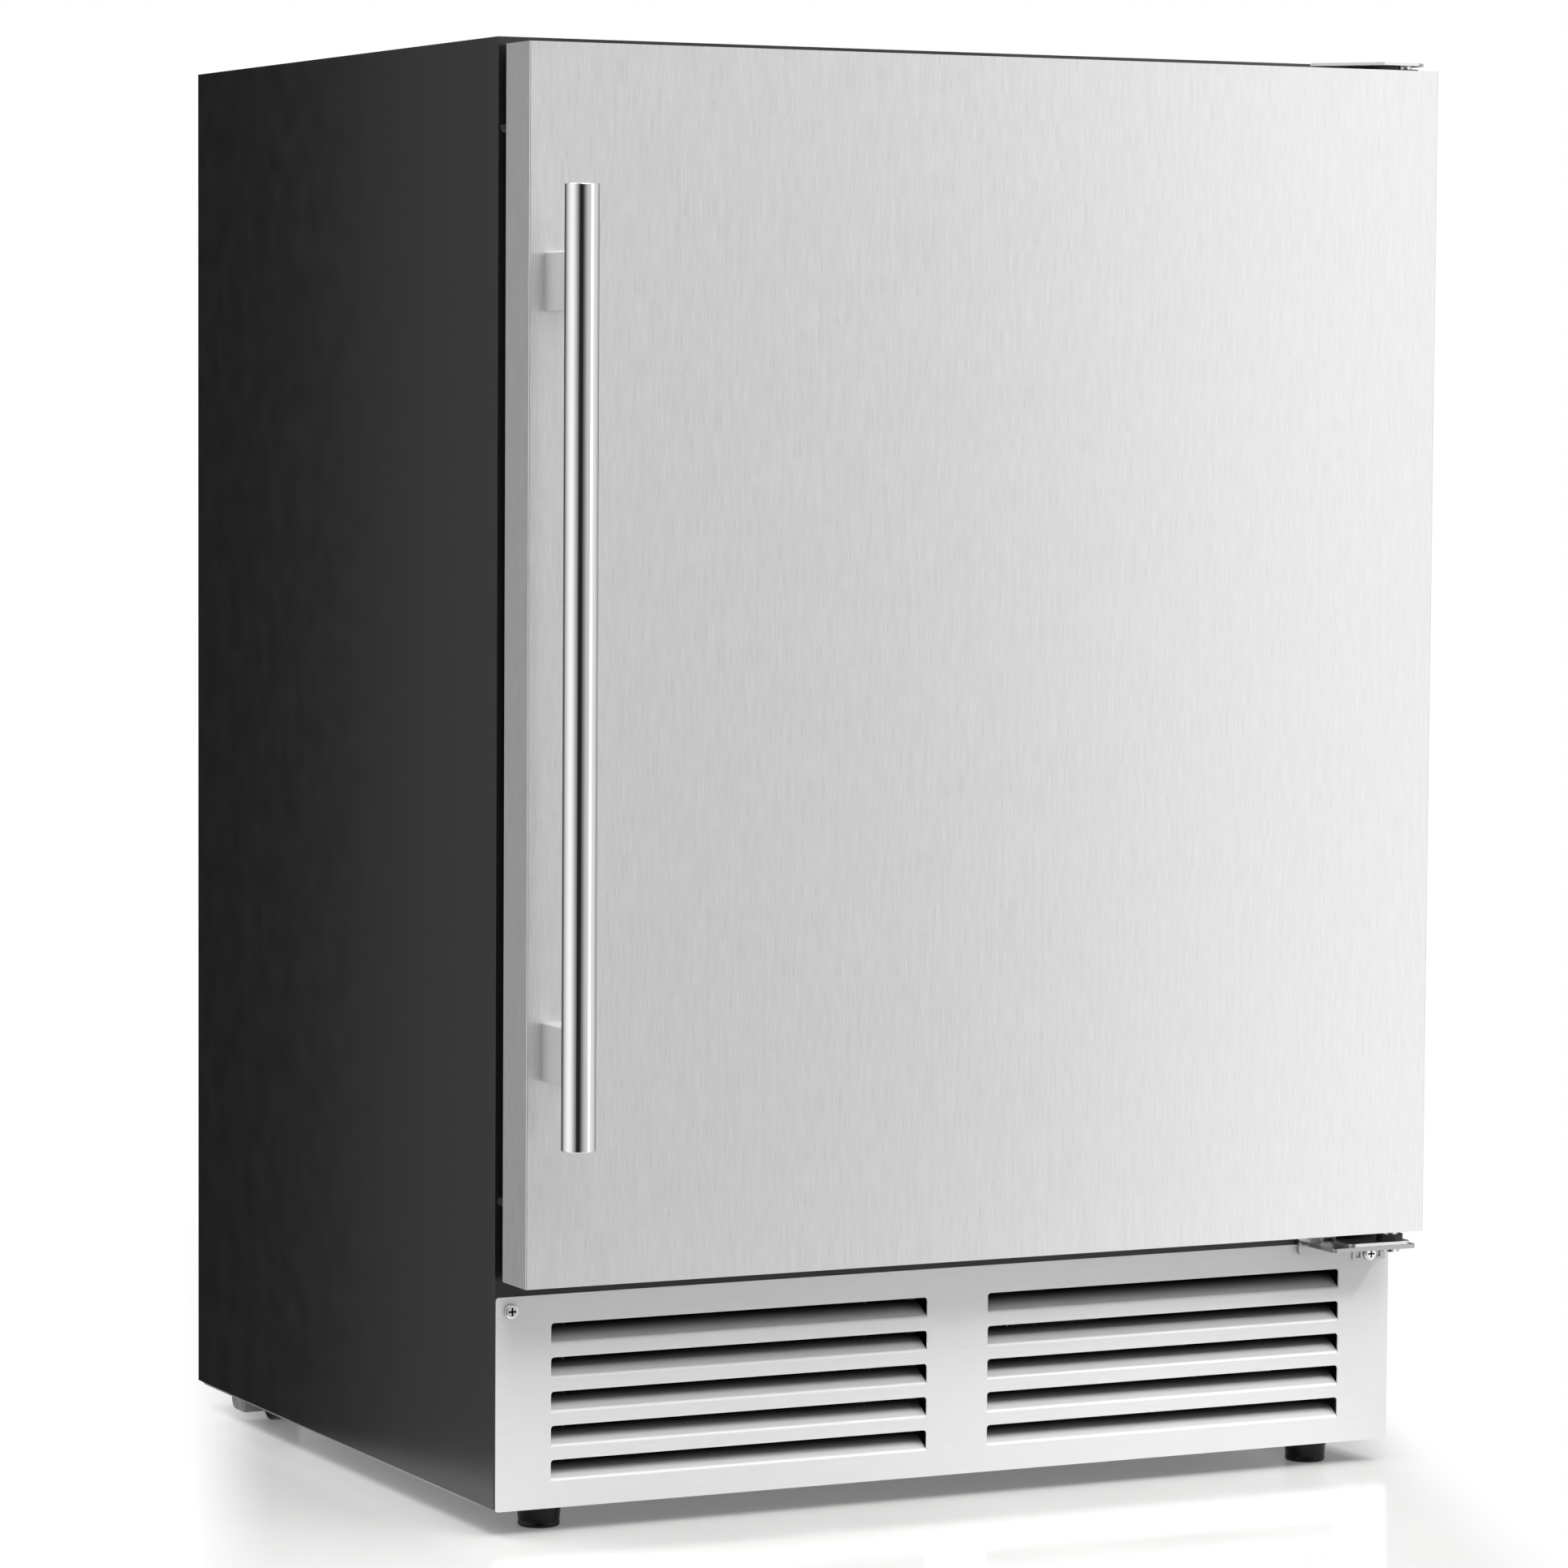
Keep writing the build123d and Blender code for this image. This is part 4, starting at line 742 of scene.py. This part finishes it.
def studio_world():
    """White backdrop for the camera; for light, walls whose brightness varies round the room."""
    world = bpy.data.worlds.new("studio")
    bpy.context.scene.world = world
    world.use_nodes = True
    graph = Graph(world.node_tree)
    way = graph.add("ShaderNodeSeparateXYZ", {"Vector": graph.add("ShaderNodeTexCoord").outputs["Generated"]})
    azimuth = graph.math("ARCTAN2", way.outputs["X"], graph.math("MULTIPLY", way.outputs["Y"], -1.0))
    turn = graph.math("ADD", graph.math("DIVIDE", azimuth, 2 * math.pi), 0.5)
    walls = graph.ramp(turn, [((degrees + 180) / 360, grey / WALL_STRENGTH) for degrees, grey in WALLS])
    height = graph.smooth(graph.math("ABSOLUTE", way.outputs["Z"]), 0.5, 0.85)
    room = graph.add("ShaderNodeMix", {"Factor": height}, data_type="RGBA")
    graph.tree.links.new(walls, room.inputs["A"])
    room.inputs["B"].default_value = (1.0, 1.0, 1.0, 1.0)
    lit = graph.add("ShaderNodeBackground", {"Color": room.outputs["Result"], "Strength": WALL_STRENGTH})
    seen = graph.add("ShaderNodeBackground", {"Color": (1.0, 1.0, 1.0, 1.0), "Strength": 1.0})
    from_camera = graph.add("ShaderNodeLightPath").outputs["Is Camera Ray"]
    mixed = graph.add("ShaderNodeMixShader", {0: from_camera, 1: lit.outputs[0], 2: seen.outputs[0]})
    output = graph.add("ShaderNodeOutputWorld")
    graph.tree.links.new(mixed.outputs[0], output.inputs["Surface"])


def aimed_light(name, kind, place, target, power):
    """A light of a kind at a place, aimed at a point and hidden from the camera. Returns its data."""
    data = bpy.data.lights.new(name, kind)
    data.energy = power
    light = bpy.data.objects.new(name, data)
    bpy.context.scene.collection.objects.link(light)
    light.location = place
    light.rotation_mode = "QUATERNION"
    light.rotation_quaternion = (Vector(target) - Vector(place)).to_track_quat("-Z", "Y")
    light.visible_camera = False
    return data


def soft_light(name, place, target, size, power):
    """A rectangular soft box aimed at a point."""
    data = aimed_light(name, "AREA", place, target, power)
    data.shape = "RECTANGLE"
    data.size, data.size_y = size


def grille_spot(name, place, target, degrees, power):
    """A soft-edged round beam that lifts the grille's far half."""
    data = aimed_light(name, "SPOT", place, target, power)
    data.spot_size = math.radians(degrees)
    data.spot_blend = 1.0
    data.shadow_soft_size = 0.12


def camera():
    """The camera, turned by yaw, then down, then rolled about its own axis."""
    data = bpy.data.cameras.new("camera")
    data.lens = CAMERA_LENS
    data.sensor_width = 36.0
    eye = bpy.data.objects.new("camera", data)
    bpy.context.scene.collection.objects.link(eye)
    yaw, down, roll = (math.radians(angle) for angle in (CAMERA_YAW, CAMERA_DOWN, CAMERA_ROLL))
    ahead = Vector((math.sin(yaw) * math.cos(down), math.cos(yaw) * math.cos(down), -math.sin(down)))
    level = Vector((math.cos(yaw), -math.sin(yaw), 0.0))
    upward = level.cross(ahead)
    right = math.cos(roll) * level + math.sin(roll) * upward
    up = -math.sin(roll) * level + math.cos(roll) * upward
    turn = Matrix((right, up, -ahead)).transposed()
    eye.matrix_world = Matrix.Translation(CAMERA_PLACE) @ turn.to_4x4()
    bpy.context.scene.camera = eye


camera()
studio_world()
floor()
soft_light("top_box", (0.1, -1.9, 2.8), (0.0, -0.2, 0.2), (2.4, 2.0), 82.0)
soft_light("right_box", (1.3, -1.6, 0.45), (0.25, -0.25, 0.4), (0.8, 2.6), 4.2)
soft_light("left_top", (-1.1, 0.5, 2.4), (-0.6, -0.1, 0.0), (1.0, 1.0), 22.0)
grille_spot("grille_spot", (1.4, -1.6, 1.6), (0.26, -0.27, 0.06), 14.0, 62.0)
soft_light("back_box", (0.5, 2.4, 1.3), (0.0, 0.28, 0.4), (1.2, 1.6), 14.0)
soft_light("left_panel", (-0.88, 0.70, 0.5), (-0.3, -0.2, 0.5), (0.55, 2.4), 0.9)
dress_nodes()
magnet_seal()
display_digits()
seam_strip()
levelling_foot("foot_left")
levelling_foot("foot_right")

bpy.context.scene.view_settings.view_transform = "Standard"
